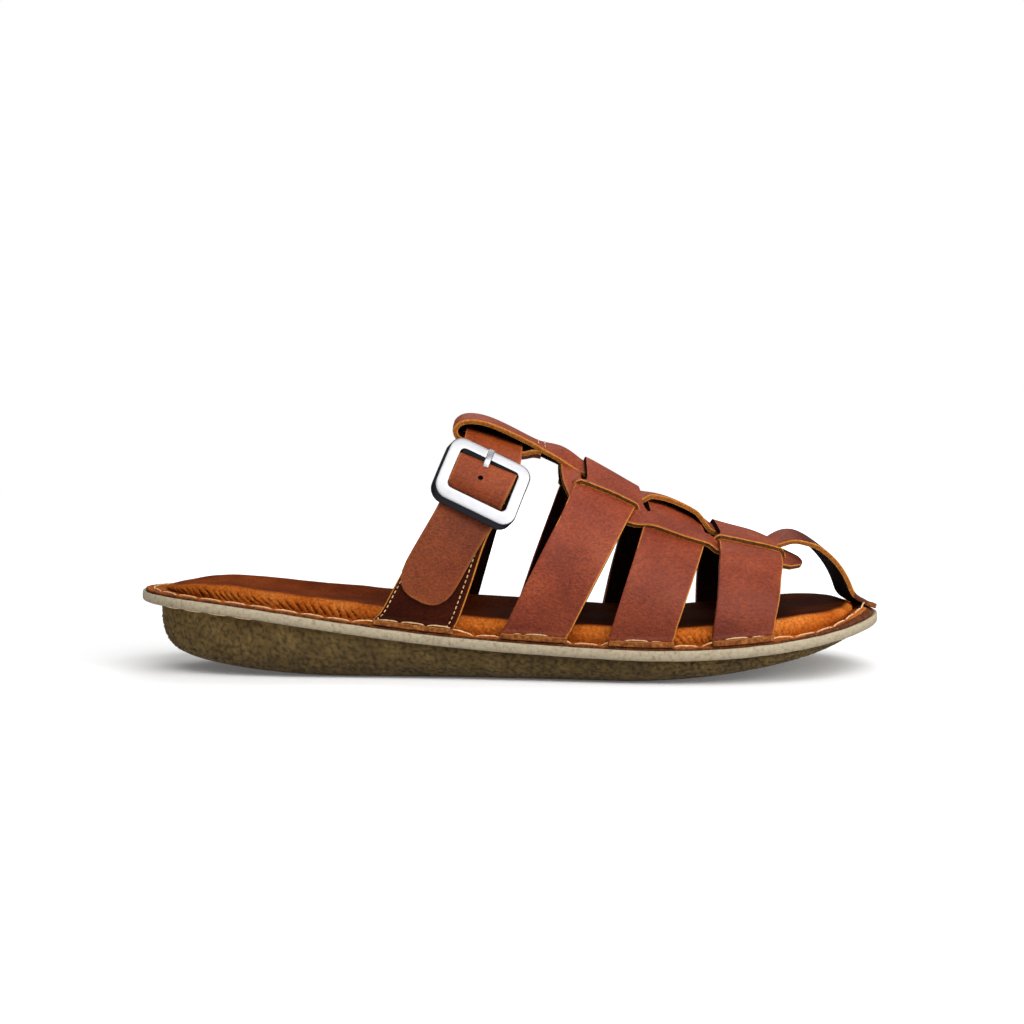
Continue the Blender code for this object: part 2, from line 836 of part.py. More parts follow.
def buckle_point(axes, across, down, lift):
    """Point on the bowed buckle."""
    middle, across_axis, down_axis, outward = axes
    angle = down / (BUCKLE_BOW + BUCKLE_LIFT + BUCKLE_THICKNESS / 2)
    sink = BUCKLE_BOW - (BUCKLE_BOW + lift) * math.cos(angle)
    reach = (BUCKLE_BOW + lift) * math.sin(angle)
    return middle + across_axis * across + down_axis * reach - outward * sink


def rounded_rectangle(width, height, radius, corner_steps=5, side_steps=4):
    """Closed rounded rectangle as across and down values."""
    points = []
    middles = (
        (width / 2 - radius, -height / 2 + radius, -90),
        (width / 2 - radius, height / 2 - radius, 0),
        (-width / 2 + radius, height / 2 - radius, 90),
        (-width / 2 + radius, -height / 2 + radius, 180),
    )
    for i, (x, y, start) in enumerate(middles):
        for step in range(corner_steps + 1):
            angle = math.radians(start + 90 * step / corner_steps)
            points.append((x + radius * math.cos(angle), y + radius * math.sin(angle)))
        end_x, end_y = points[-1]
        next_x, next_y, next_start = middles[(i + 1) % 4]
        angle = math.radians(next_start)
        goal_x = next_x + radius * math.cos(angle)
        goal_y = next_y + radius * math.sin(angle)
        for step in range(1, side_steps):
            share = step / side_steps
            points.append((end_x + (goal_x - end_x) * share, end_y + (goal_y - end_y) * share))
    return points


def tube(name, points, radius, sides=10, material=None, cutter=True):
    """Round rod along a line of points, closed at both ends."""
    bm = bmesh.new()
    loops = []
    for i, point in enumerate(points):
        ahead = points[min(i + 1, len(points) - 1)] - points[max(i - 1, 0)]
        ahead.normalize()
        up = Vector((0, 0, 1)) if abs(ahead.z) < 0.9 else Vector((1, 0, 0))
        right = ahead.cross(up).normalized()
        up = right.cross(ahead).normalized()
        loop = []
        for k in range(sides):
            angle = 2 * math.pi * k / sides
            spot = point + (right * math.cos(angle) + up * math.sin(angle)) * radius
            loop.append(bm.verts.new(spot * MM))
        loops.append(loop)
    for low, high in zip(loops, loops[1:]):
        for k in range(sides):
            bm.faces.new((low[k], low[(k + 1) % sides], high[(k + 1) % sides], high[k]))
    bm.faces.new(loops[0])
    bm.faces.new(loops[-1])
    bmesh.ops.recalc_face_normals(bm, faces=bm.faces)
    return make_object(name, bm, material, cutter)


def join(item, operand, operation="UNION"):
    """Exact Boolean with another object."""
    step = item.modifiers.new(operand.name, "BOOLEAN")
    step.operation = operation
    step.solver = "EXACT"
    step.object = operand
    return step


def build_buckle_frame(axes, material):
    """Bowed steel frame with a round centre bar."""
    outer = rounded_rectangle(BUCKLE_WIDTH, BUCKLE_HEIGHT, BUCKLE_CORNER)
    inner = rounded_rectangle(
        BUCKLE_WIDTH - 2 * BUCKLE_BAR, BUCKLE_HEIGHT - 2 * BUCKLE_BAR, BUCKLE_CORNER - BUCKLE_BAR + 1.2,
    )
    bm = bmesh.new()
    loops = []
    for outline in (outer, inner):
        loops.append([bm.verts.new(buckle_point(axes, x, y, BUCKLE_LIFT) * MM) for x, y in outline])
    count = len(outer)
    for i in range(count):
        j = (i + 1) % count
        bm.faces.new((loops[0][i], loops[0][j], loops[1][j], loops[1][i]))
    bmesh.ops.recalc_face_normals(bm, faces=bm.faces)
    outward = axes[3]
    bm.faces.ensure_lookup_table()
    if bm.faces[0].normal.dot(outward) < 0:
        bmesh.ops.reverse_faces(bm, faces=bm.faces)
    item = make_object("buckle_frame", bm, material)
    wall = item.modifiers.new("wall", "SOLIDIFY")
    wall.thickness = BUCKLE_THICKNESS * MM
    wall.offset = 1.0
    edges = item.modifiers.new("edges", "BEVEL")
    edges.width = 0.5 * MM
    edges.segments = 1
    edges.limit_method = "ANGLE"
    edges.angle_limit = math.radians(50)
    reach = BUCKLE_WIDTH / 2 - BUCKLE_BAR * 0.55
    ends = [buckle_point(axes, reach * end, 0, CENTRE_BAR_LIFT) for end in (-1, 1)]
    bar = tube("centre_bar", ends, CENTRE_BAR_RADIUS, 12)
    join(item, bar)
    return item


def prong_route(axes):
    """Prong from the centre bar up through the strap and over the frame's upper bar."""
    top = BUCKLE_LIFT + BUCKLE_THICKNESS + FIT_GAP + PRONG_RADIUS
    upper_bar = -BUCKLE_HEIGHT / 2 + BUCKLE_BAR
    rows = (
        (-CENTRE_BAR_RADIUS - PRONG_RADIUS - 0.5, CENTRE_BAR_LIFT),
        (-4.2, CENTRE_BAR_LIFT + 0.9),
        (upper_bar + 1.6, top - 0.1),
        (upper_bar, top),
        (-BUCKLE_HEIGHT / 2 + 0.6, top),
    )
    return [buckle_point(axes, 0.0, down, lift) for down, lift in rows]


for item in list(bpy.data.objects):
    bpy.data.objects.remove(item, do_unlink=True)

part = bpy.data.collections.new(OBJECT_NAME)
helpers = bpy.data.collections.new("cutters")
bpy.context.scene.collection.children.link(part)
bpy.context.scene.collection.children.link(helpers)

outsole_rubber = make_material("outsole_rubber", (0.118, 0.091, 0.045), 0.8)
midsole_rubber = make_material("midsole_rubber", (0.55, 0.52, 0.44), 0.75)
footbed_leather = make_material("footbed_leather", (0.42, 0.13, 0.03), 0.6)
strap_leather = make_material("strap_leather", (0.25, 0.062, 0.026), 0.5)
instep_leather = make_material("instep_leather", (0.26, 0.065, 0.027), 0.5)
quarter_leather = make_material("quarter_leather", (0.2, 0.05, 0.02), 0.5)
frame_steel = make_material("frame_steel", (0.72, 0.72, 0.72), 0.28, 1.0)
prong_steel = make_material("prong_steel", (0.72, 0.72, 0.72), 0.28, 1.0)

build_outsole(outsole_rubber)
build_midsole(midsole_rubber)
build_footbed(footbed_leather)
upper = build_saddle(strap_leather)
for leg in LEGS:
    join(upper, build_leg(*leg))
join(upper, build_centre_strap())

instep_strap = build_instep_strap(instep_leather)
build_quarter_strap(quarter_leather)
frame_axes = buckle_axes()
build_buckle_frame(frame_axes, frame_steel)
prong_points = prong_route(frame_axes)
tube("buckle_prong", prong_points, PRONG_RADIUS, 10, prong_steel, cutter=False)
hole = tube("prong_hole", prong_points, PRONG_HOLE_RADIUS, 12)
join(instep_strap, hole, "DIFFERENCE")
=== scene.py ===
"""Looks of a right-foot woven leather slide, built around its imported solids.

Sizes are in millimetres in the shoe's own frame: +X to the toe, -Y to the buckle side, +Z up from the floor.
"""

import functools
import math
from collections import namedtuple

import bpy
import numpy as np
from mathutils import Matrix, Vector, noise


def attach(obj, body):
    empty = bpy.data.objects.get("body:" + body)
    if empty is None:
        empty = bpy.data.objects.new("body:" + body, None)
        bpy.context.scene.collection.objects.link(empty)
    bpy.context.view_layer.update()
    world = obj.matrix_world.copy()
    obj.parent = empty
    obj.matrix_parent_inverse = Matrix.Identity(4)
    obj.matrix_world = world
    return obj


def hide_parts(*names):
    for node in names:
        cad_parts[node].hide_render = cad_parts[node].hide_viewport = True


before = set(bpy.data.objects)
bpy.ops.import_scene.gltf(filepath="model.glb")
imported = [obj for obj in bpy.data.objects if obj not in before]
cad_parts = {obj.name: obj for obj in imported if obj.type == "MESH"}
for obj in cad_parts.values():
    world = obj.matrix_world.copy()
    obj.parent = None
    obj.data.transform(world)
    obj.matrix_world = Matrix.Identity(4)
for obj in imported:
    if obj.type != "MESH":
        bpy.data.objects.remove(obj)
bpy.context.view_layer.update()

MM = 0.001
LATERAL = -1
MEDIAL = 1

# Small steps that directions are measured over: in turns round the rim, and on the form
RIM_PROBE = 0.004
FORM_PROBE = 0.4

# Sole
SOLE_LENGTH = 285.0
HALF_LENGTH = SOLE_LENGTH / 2
FIT_GAP = 0.3
MIDSOLE_THICKNESS = 3.5
MIDSOLE_COLUMNS = 701
MIDSOLE_WAVE = 0.12
MIDSOLE_WAVE_LENGTH = 7.0
OUTSOLE_COLUMNS = 1301
OUTSOLE_ROWS = 54
HEEL_FLAT_START = -60.0
HEEL_RISE = 11.0
HEEL_CURVE = 2
TOE_FLAT_END = 40.0
TOE_RISE = 12.8
TOE_RISE_LENGTH = 88.0
TOE_CURVE = 1.8

# Pebbles of the outsole: their size and depth, and the shares and scales of finer ones and of creases
PEBBLE = 1.5
PEBBLE_DEPTH = 0.65
FINE_PEBBLE_SHARE = 0.4
FINE_PEBBLE_SCALE = 2.1
CREASE_SHARE = 0.7
CREASE_SCALE = 0.8
CREASE_WIDTH = 0.2
CREASE_SHIFT = Vector((9.0, 4.0, 2.0))

# Footbed
FOOTBED_COLUMNS = 1401
FOOTBED_ROWS = 30
COVER_THICKNESS = 0.8
COVER_INSET = 1.3
FOOTBED_INSET = 7.4
ARCH_LIFT = 3.2
ARCH_CENTRE = -12.0
ARCH_SPREAD = 52.0
ARCH_WIDTH = 40.0
ARCH_MIDDLE_SHARE = 0.35
CUP_DEPTH = 1.6
TOE_TURN_UP = 0.55
TOE_TURN_SPAN = (112, 136)
TOE_TURN_INSET = 1.8
DARK_FLANGE_START = 106
DARK_EDGE_ROWS = 3
FLANGE_FRAY = 0.4
FLANGE_FRAY_LENGTH = 3.0
FLANGE_WAVE = 0.18
FLANGE_WAVE_LENGTH = 4.0
PAD_WAVE = 0.25
PAD_WAVE_LENGTH = 9.0

# Gathers of the footbed's cover; the last row gives where they set in, where they die out and what they add
GATHER_PITCH = 2.9
GATHER_DEPTH = 1.3
GATHER_LEAN = 3.4
GATHER_WANDER = 0.8
GATHER_WANDER_LENGTH = 9.0
GATHER_STRENGTH = 0.9
GATHER_UNEVEN = 0.8
GATHER_UNEVEN_LENGTH = 4.0
GATHER_SINK = 0.35
GATHER_BASE = 0.3
GATHER_STRETCHES = (((-132, -120), (-60, -48), 0.7), ((40, 60), (90, 104), 0.5))

# Straps
LEATHER = 1.9
STRAP_LEATHER = 1.8
EDGE_ROUND = 0.38
EDGE_BULGE = 0.15
EDGE_ANGLE = 55
FAR_FROM_CUT = 9.0
WALL_INSET = FOOTBED_INSET - FIT_GAP - 0.1
FLANGE_INSET = 0.7
FLANGE_LIFT = FIT_GAP + COVER_THICKNESS + FIT_GAP
BEND_RADIUS = 3.6
WALL_TOP = 8.0
FORM_RISE = 60.0
VAMP_PEAK = 0.42
VAMP_START = (6, 22)
FOOT_SHARE = (FLANGE_LIFT - WALL_TOP) / FORM_RISE
FOOT_EDGE = 0.4
DEGREE_LENGTH = 0.8
STRAP_COLUMNS = 16
SKIRT_ROWS = 12
STRAP_SKEW = 5.4
INSTEP_WIDTH = 23
QUARTER_WIDTH = 27
QUARTER_COLUMNS = 18

# Centre strap, its foot on the toe and its loop
CENTRE_STRAP_WIDTH = 19.0
CENTRE_STRAP_STEP = 0.95
CENTRE_FLATTENS = (96, 131)
CROWN_END = 112.0
TOE_FOOT_INSET = 1.6
TOE_FOOT_START = 132.5
TOE_FOOT_ACROSS = 7.0
TOE_SLANT = 0.011
TOE_SLANT_START = 118
TOE_SLANT_ACROSS = -4
LOOP_DIP = 0.9

# Saddle
SADDLE_REAR = 18.0
SADDLE_FRONT = 108.5
SADDLE_STEP = 0.5
LEG_SLIT = 33.6
LEG_SLIT_PLAY = 0.7
LEG_SLIT_END = 1.6
LEG_SLIT_SHARE = 0.78
MARGIN_SHARE = 0.22
LIP_START = 29
LIP_LIFT = 3.5
LIP_FADE = 3.5
SLIT_INNER = 27.6
SLIT_OUTER = 32.4
SLIT_DRAW = 6.0
# Stretch along the saddle and reach across it where rear-facing slit edges are painted dark as shade
SHADED_SLIT_SPAN = (24, 102)
SHADED_SLIT_REACH = 19
REAR_CORNER = 5.0
FRONT_CORNER = 4.6
FRONT_BOW = 2.6
SLIT_LEAN = 2.0

# Unevenness of the leather: heights and lengths of its waves, where they die out, and the frayed strap feet
LEATHER_WAVES = ((0.22, 17.0), (0.1, 6.0))
CALM_GIRTH = (-4, 6)
FRAY_DEPTH = 0.5
FRAY_LENGTH = 2.6
FRAY_WIDTH = 3
FRAY_SIDE_SHIFT = 5.0

# Buckle
BUCKLE_WIDTH = 33.0
BUCKLE_HEIGHT = 26.0
BUCKLE_BAR = 4.85
BUCKLE_THICKNESS = 2.4
BUCKLE_CORNER = 5.4
BUCKLE_EDGE_ROUND = 0.6
BUCKLE_INNER_ROUND = 1.2
BUCKLE_FACE_RISE = 1.125
BUCKLE_WINDOW_SHIFT = 0.35
BUCKLE_BOW = 75.0
BUCKLE_LIFT = 5.2
BUCKLE_DRAFT = (1.1, 1.7)
BUCKLE_GIRTH = 45.0
BUCKLE_ACROSS = (0.888, -0.184, -0.421)
BUCKLE_DOWN = (-0.331, -0.459, -0.824)
BUCKLE_SHIFT = (0.5, 0.0, 0.7)
CENTRE_BAR_RADIUS = 1.0
CENTRE_BAR_LIFT = 5.9
PRONG_ACROSS = -0.9
PRONG_HALF_WIDTH = 1.15
PRONG_HALF_HEIGHT = 0.6
PRONG_SQUARE = 0.35
HOLE_RADIUS = 1.0
HOLE_DOWN = 0.1
PUNCH_LIFT = 8.0
PUNCH_LENGTH = 9
ROD_SIDES = 24
ROD_END_SIZE = 0.75
ROD_NOSE = 0.3

# Sewing
RIM_STITCH_INSET = 4.2
RIM_STITCH_TOE_INSET = 1.4
RIM_STITCH_WANDER = 0.25
RIM_STITCH_WANDER_LENGTH = 5.0
STRAP_SEAM_INSET = 3.0
STRAP_SEAM_SOFT = 0.8
HEEL_SEAM_INSET = 2.6
HEEL_SEAM_TURNS = (1.73, 2.27)
RIM_STITCH_PITCH = 9.6
RIM_STITCH_LENGTH = 9.1
RIM_THREAD = 0.6
STRAP_STITCH_PITCH = 2.0
STRAP_STITCH_LENGTH = 1.35
STRAP_THREAD = 0.42
THREAD_TWIST = 0.12
THREAD_TURNS = 8
THREAD_RISE = 0.12
THREAD_DIVE = 1.1
SEAM_LIFT = 0.1
REAR_SEAM_INSET = 1.4
FRONT_SEAM_INSET = 2.4
LOOP_SEAMS = (9.4, 11.8)
LOOP_STITCH_PITCH = 3.2
LOOP_STITCH_LENGTH = 2.4

# Places of a strap's finishes; the line is a painted highlight along the rounded edges of a cut
GRAIN, CUT, FLESH, HIGHLIGHT_LINE, SUEDE = range(5)

# Plan of the midsole rim: along the shoe, outer half-width, inner half-width.
RIM_SECTIONS = (
    (-142.5, 0.0, 0.0),
    (-135.5, 20.0, 20.0),
    (-115.0, 32.5, 32.0),
    (-83.0, 36.5, 34.5),
    (-43.0, 38.5, 33.0),
    (0.0, 43.0, 34.5),
    (44.0, 50.3, 43.0),
    (84.0, 50.3, 51.3),
    (115.0, 39.0, 48.5),
    (135.0, 17.5, 34.5),
    (142.5, -7.0, 7.0),
)

# Side view of the midsole's top face: along the shoe, height.
RIM_HEIGHTS = (
    (-142.5, 30.3),
    (-118.0, 28.1),
    (-95.0, 25.3),
    (-75.0, 22.3),
    (-50.0, 18.8),
    (-20.0, 15.5),
    (20.0, 13.0),
    (50.0, 12.1),
    (70.0, 12.5),
    (94.0, 14.3),
    (114.0, 16.8),
    (130.0, 19.4),
    (142.5, 21.4),
)

# How far the outsole stands back from the rim: along the shoe, inset.
OUTSOLE_INSETS = (
    (-142.5, 7.6),
    (-115.0, 5.0),
    (-80.0, 3.4),
    (0.0, 3.0),
    (80.0, 3.2),
    (115.0, 4.6),
    (142.5, 7.4),
)

# Outsole wall from top to tread: share of the height, extra inset.
OUTSOLE_WALL = (
    (1.0, 0.0),
    (0.72, -0.1),
    (0.46, 0.5),
    (0.25, 1.7),
    (0.1, 3.9),
    (0.02, 6.6),
    (0.0, 9.0),
)

# How much further the footbed stands back at its two ends: along the shoe, extra inset.
FOOTBED_END_INSETS = (
    (-142.5, 1.8),
    (-125.0, 0.6),
    (-100.0, 0.0),
    (108.0, 0.0),
    (124.0, 0.2),
    (142.5, 2.0),
)

# Share of the footbed's height, which runs down towards both ends: along the shoe, share.
FOOTBED_TAPER = (
    (-136.0, 0.26),
    (-128.0, 0.46),
    (-118.0, 0.8),
    (-106.0, 0.99),
    (-85.0, 1.04),
    (-58.0, 1.16),
    (60.0, 1.16),
    (104.0, 1.18),
    (116.0, 1.0),
    (128.0, 0.74),
    (136.0, 0.6),
)

# Footbed from its stitched flange to its cupped top: extra inset, lift over the flange, share of arch.
FOOTBED_RINGS = (
    (0.7, 0.0, 0.0),
    (0.0, 1.9, 0.3),
    (0.2, 3.6, 0.6),
    (1.2, 5.0, 0.9),
    (2.9, 5.7, 1.0),
    (6.0, 5.6, 1.0),
    (14.0, 5.6 - CUP_DEPTH, 0.5),
)

# Edge of the rim board from its lower to its upper face: inset, height.
MIDSOLE_EDGE = (
    (1.2, 0.0),
    (0.45, 0.12),
    (0.1, 0.5),
    (0.0, 1.1),
    (0.0, 1.9),
    (0.0, 2.8),
    (0.1, 3.4),
    (0.45, 3.78),
    (1.2, MIDSOLE_THICKNESS),
)

# Stitched flange of the footbed's cover, from its lower edge inwards: inset, lift over the rim.
FLANGE_TOP = FIT_GAP + COVER_THICKNESS
FLANGE_RINGS = (
    (COVER_INSET, FIT_GAP),
    (COVER_INSET, FLANGE_TOP - 0.35),
    (COVER_INSET + 0.3, FLANGE_TOP),
    (2.6, FLANGE_TOP),
    (4.0, FLANGE_TOP),
    (5.5, FLANGE_TOP),
)

# Form that the straps lie on: along the shoe, across and height of its ridge line.
RIDGE_SECTIONS = (
    (-62.0, -2.0, 101.5),
    (-40.0, -1.6, 95.5),
    (-20.0, -1.0, 89.8),
    (10.0, 0.4, 82.0),
    (28.0, 1.8, 76.6),
    (40.0, 2.6, 70.2),
    (54.0, 3.4, 62.2),
    (74.0, 4.3, 53.4),
    (88.0, 4.9, 49.4),
    (100.0, 5.4, 45.6),
    (112.0, 6.2, 40.2),
    (124.0, 7.0, 32.5),
    (134.0, 7.0, 25.5),
)

# Legs: rear and front edge at the sole and at the ridge, over the saddle or not, draw of the waist.
Leg = namedtuple("Leg", "name side foot_rear foot_front ridge_rear ridge_front over waist")
LEGS = [Leg(*row) for row in (
    ("leg_second_lateral", LATERAL, -4.3, 19.6, 28.1, 48.8, True, -0.8),
    ("leg_third_lateral", LATERAL, 34.4, 57.5, 52.3, 75.2, False, 0.7),
    ("leg_fourth_lateral", LATERAL, 71.3, 93.4, 78.0, 101.8, True, -0.2),
    ("leg_second_medial", MEDIAL, 0.4, 22.0, 22.5, 49.4, True, 0.6),
    ("leg_third_medial", MEDIAL, 36.5, 59.0, 47.9, 74.6, False, 0.6),
    ("leg_fourth_medial", MEDIAL, 77.2, 96.5, 76.6, 101.8, True, 0.6),
)]

# Lift of a leg that goes over the saddle's margin and down through its slit: degrees from the wall, lift.
LEG_OVER = (
    (0.0, 0.0),
    (32.0, 0.0),
    (38.0, 0.6),
    (43.5, 1.95),
    (52.0, 2.05),
    (57.0, 1.5),
    (63.0, 0.45),
    (72.0, 0.3),
)

# Lift of a leg that goes up under the margin.
LEG_UNDER = (
    (0.0, 0.0),
    (40.0, 0.0),
    (52.0, 0.15),
    (72.0, 0.2),
)

# Levels of the saddle over the form, beside the centre strap: along, lift.
SADDLE_PANEL = (
    (18.0, 0.2),
    (23.5, 0.35),
    (29.0, 2.1),
    (48.0, 2.25),
    (51.0, 2.0),
    (75.0, 2.0),
    (78.0, 2.25),
    (97.0, 2.25),
    (103.0, 0.6),
    (108.5, 0.2),
)

# Levels of its margin, which lies under the second and fourth legs and over the third.
SADDLE_EDGE = (
    (18.0, 0.2),
    (43.0, 0.1),
    (51.5, 2.05),
    (71.0, 2.05),
    (76.5, 0.1),
    (108.5, 0.2),
)

# Slits that the centre strap goes through: along, how far the slit stands open.
SADDLE_SLITS = (
    (26.2, 1.6),
    (49.7, 3.8),
    (75.4, 5.4),
    (100.3, 1.8),
)

# Levels of the stretches between those slits, at their rear end, middle and front end.
SADDLE_BRIDGES = (
    (0.2, 0.2, 0.2),
    (2.6, 2.45, 2.45),
    (0.8, 1.85, 0.8),
    (2.9, 2.9, 2.5),
    (0.2, 0.2, 0.2),
)

# Girth of the saddle's outer edge, counted from the ridge: along, degrees.
SADDLE_MARGINS = (
    (16.5, 41.0),
    (25.0, 45.0),
    (42.0, 43.0),
    (51.0, 40.9),
    (66.0, 40.6),
    (78.0, 40.9),
    (88.0, 42.6),
    (98.0, 43.5),
    (104.0, 42.4),
    (109.0, 41.0),
)

# Instep strap on the buckle side: share of the height to the ridge, rear edge, front edge.
INSTEP_LATERAL = (
    (0.0, -46.4, -25.2),
    (0.285, -37.2, -15.2),
    (0.5, -29.4, -7.4),
    (0.66, -24.2, -1.6),
    (0.8, -20.6, 1.8),
    (1.0, -18.2, 3.4),
)

# The same on the medial side, from the rim up.
INSTEP_MEDIAL = (
    (-0.1, -41.5, -16.0),
    (0.5, -28.8, -5.4),
    (1.0, -18.2, 3.2),
)

# Quarter strap: share of the height to the ridge, rear edge, front edge.
QUARTER_EDGES = (
    (-0.1, -50.4, -21.1),
    (0.25, -38.0, -13.2),
    (0.55, -27.2, -5.6),
    (0.64, -23.8, -1.6),
    (0.76, -18.6, 4.0),
    (1.0, -12.0, 8.0),
)

# Lift of the instep strap: distance down from the buckle's middle, lift.
INSTEP_LIFTS = (
    (-60.0, 1.9),
    (-12.0, 1.9),
    (-9.0, 2.1),
    (-7.6, 3.4),
    (-6.4, 5.9),
    (-5.2, 6.7),
    (-2.5, 7.0),
    (1.6, 6.7),
    (4.5, 5.3),
    (7.2, 3.1),
    (9.0, 2.15),
    (60.0, 2.15),
)

# Lift of its medial half: girth, lift.
INSTEP_MEDIAL_LIFTS = (
    (90.0, 1.9),
    (106.0, 1.9),
    (124.0, 0.0),
    (180.0, 0.0),
)

# Where the loop's return presses the strap's front edge down: girth, share of the dip.
LOOP_SPAN = (
    (0.0, 0.0),
    (60.0, 0.0),
    (72.0, 1.0),
    (106.0, 1.0),
    (120.0, 0.0),
    (200.0, 0.0),
)

# Rounded tip of the instep strap: girth past the tip, share of the strap's width.
TIP_GIRTH = 3.2
TIP_ROUNDING = (
    (0.0, 0.12),
    (0.12, 0.3),
    (0.4, 0.45),
    (0.9, 0.6),
    (1.9, 0.75),
    (3.4, 0.88),
    (5.6, 0.97),
    (8.4, 1.0),
    (180.0, 1.0),
)

# Girths along the instep strap, closest in the buckle: start, step, count.
INSTEP_GIRTHS = (
    (12.5, 1.0, 14),
    (26, 0.55, 72),
    (66, 1.5, 76),
)

# Foot of the centre strap on the toe's rim: distance back from the tip, lift over the flange.
TOE_FOOT = (
    (4.4, 1.5),
    (7.2, 2.9),
    (9.6, 4.3),
)

# Underside of the centre strap in side view, from the toe back over the vamp: along, height.
CENTRE_STRAP_ROUTE = (
    (130.9, 28.4),
    (129.8, 31.0),
    (127.0, 36.6),
    (121.2, 43.6),
    (114.0, 49.2),
    (107.6, 51.3),
    (102.6, 49.4),
    (98.0, 47.2),
    (90.0, 49.0),
    (83.0, 51.2),
    (79.0, 52.6),
    (76.0, 54.2),
    (70.9, 58.6),
    (65.1, 62.0),
    (59.3, 64.4),
    (53.5, 65.7),
    (49.5, 66.3),
    (45.0, 68.0),
    (38.0, 71.9),
    (31.0, 75.8),
    (27.0, 78.0),
    (23.0, 81.0),
    (18.0, 83.9),
    (11.5, 85.4),
    (7.0, 87.2),
    (3.1, 89.2),
    (-4.7, 93.1),
    (-12.0, 95.8),
    (-15.8, 96.3),
)

# How far the centre strap's lateral edge hangs down more than the form asks: along, drop.
CENTRE_STRAP_SAG = (
    (6.0, 0.0),
    (12.0, 0.5),
    (22.0, 1.8),
    (28.0, 0.6),
    (34.0, 0.0),
    (47.0, 0.6),
    (50.0, 0.4),
    (54.0, -1.6),
    (70.0, -1.6),
    (76.0, 0.8),
    (80.0, 0.0),
    (93.0, 0.0),
    (99.0, 1.2),
    (106.0, 3.2),
    (112.0, 2.6),
    (119.0, 0.6),
    (126.0, 0.0),
)

# How far the loop's inner edge is pulled down on the medial side: along, drop.
LOOP_PULL = (
    (-24.0, 0.0),
    (-20.4, 0.0),
    (-16.0, 1.8),
    (-9.0, 2.8),
    (-2.0, 3.0),
    (6.0, 1.2),
    (12.0, 0.0),
)

# Inner face of the centre strap's loop, round behind the instep strap and back under it: along, height.
LOOP_RETURN = (
    (-19.2, 95.6),
    (-20.6, 93.8),
    (-20.0, 92.0),
    (-17.0, 90.8),
    (-12.0, 89.2),
    (0.0, 86.0),
    (4.5, 85.2),
    (8.0, 85.9),
    (11.5, 86.0),
)


def natural_curve(rows, column):
    """Smooth function through one column of a table, along its first column."""
    knots = np.array([row[0] for row in rows], dtype=float)
    values = np.array([row[column] for row in rows], dtype=float)
    count = len(knots)
    steps = np.diff(knots)
    system = np.eye(count)
    right = np.zeros(count)
    for i in range(1, count - 1):
        system[i, i - 1] = steps[i - 1]
        system[i, i] = 2 * (steps[i - 1] + steps[i])
        system[i, i + 1] = steps[i]
        rise = (values[i + 1] - values[i]) / steps[i]
        rise_before = (values[i] - values[i - 1]) / steps[i - 1]
        right[i] = 6 * (rise - rise_before)
    bends = np.linalg.solve(system, right)

    def curve(at):
        at = np.asarray(at, dtype=float)
        i = np.clip(np.searchsorted(knots, at) - 1, 0, count - 2)
        before = at - knots[i]
        after = knots[i + 1] - at
        step = steps[i]
        cubic = (bends[i] * after ** 3 + bends[i + 1] * before ** 3) / (6 * step)
        low = (values[i] / step - bends[i] * step / 6) * after
        high = (values[i + 1] / step - bends[i + 1] * step / 6) * before
        return cubic + low + high

    return curve


def soft_steps(rows):
    """Function through a two-column table that never overshoots a row."""
    knots = [row[0] for row in rows]
    values = [row[1] for row in rows]
    rises = [(b - a) / (q - p) for p, q, a, b in zip(knots, knots[1:], values, values[1:])]
    slopes = [0.0]
    for before, after in zip(rises, rises[1:]):
        slopes.append(2 * before * after / (before + after) if before * after > 0 else 0.0)
    slopes.append(0.0)

    @functools.lru_cache(maxsize=None)
    def curve(at):
        if at <= knots[0]:
            return values[0]
        for i, end in enumerate(knots[1:]):
            if at <= end:
                step = end - knots[i]
                t = (at - knots[i]) / step
                swing = slopes[i] * (1 - t) ** 2 * t - slopes[i + 1] * t * t * (1 - t)
                return values[i] + (values[i + 1] - values[i]) * t * t * (3 - 2 * t) + swing * step
        return values[-1]

    return curve


def blend(low, high, at):
    """Soft share of the way from low to high."""
    t = min(max((at - low) / (high - low), 0.0), 1.0)
    return t * t * (3 - 2 * t)


def between(start, end, at):
    """Soft share inside a stretch that sets in over one span and dies out over another."""
    return blend(*start, at) * blend(-end[1], -end[0], -at)


def turn_at(along):
    """Angle share, 0 at the heel end and 1 at the toe end, that rounds the two ends of the outline."""
    share = min(max((along + HALF_LENGTH) / SOLE_LENGTH, 0.0), 1.0)
    return math.acos(1 - 2 * share) / math.pi


RIM_BY_TURN = tuple((turn_at(along), -lateral, medial) for along, lateral, medial in RIM_SECTIONS)
rim_lateral = natural_curve(RIM_BY_TURN, 1)
rim_medial = natural_curve(RIM_BY_TURN, 2)
rim_height_curve = natural_curve(RIM_HEIGHTS, 1)
outsole_inset = natural_curve(OUTSOLE_INSETS, 1)
ridge_across_curve = natural_curve(RIDGE_SECTIONS, 1)
ridge_height_curve = natural_curve(RIDGE_SECTIONS, 2)


@functools.lru_cache(maxsize=None)
def rim_height(along):
    """Height of the midsole's top face."""
    return float(rim_height_curve(along))


@functools.lru_cache(maxsize=None)
def ridge(along):
    """Across and height of the form's ridge line."""
    return float(ridge_across_curve(along)), float(ridge_height_curve(along))


def rim_points(turns):
    """Rim outline: turns 0 to 1 run from heel to toe on the lateral side, 1 to 2 back on the other."""
    turns = np.mod(turns, 2.0)
    shares = np.where(turns <= 1.0, turns, 2.0 - turns)
    along = -HALF_LENGTH * np.cos(np.pi * shares)
    across = np.where(turns <= 1.0, rim_lateral(shares), rim_medial(shares))
    return np.stack([along, across], axis=-1)


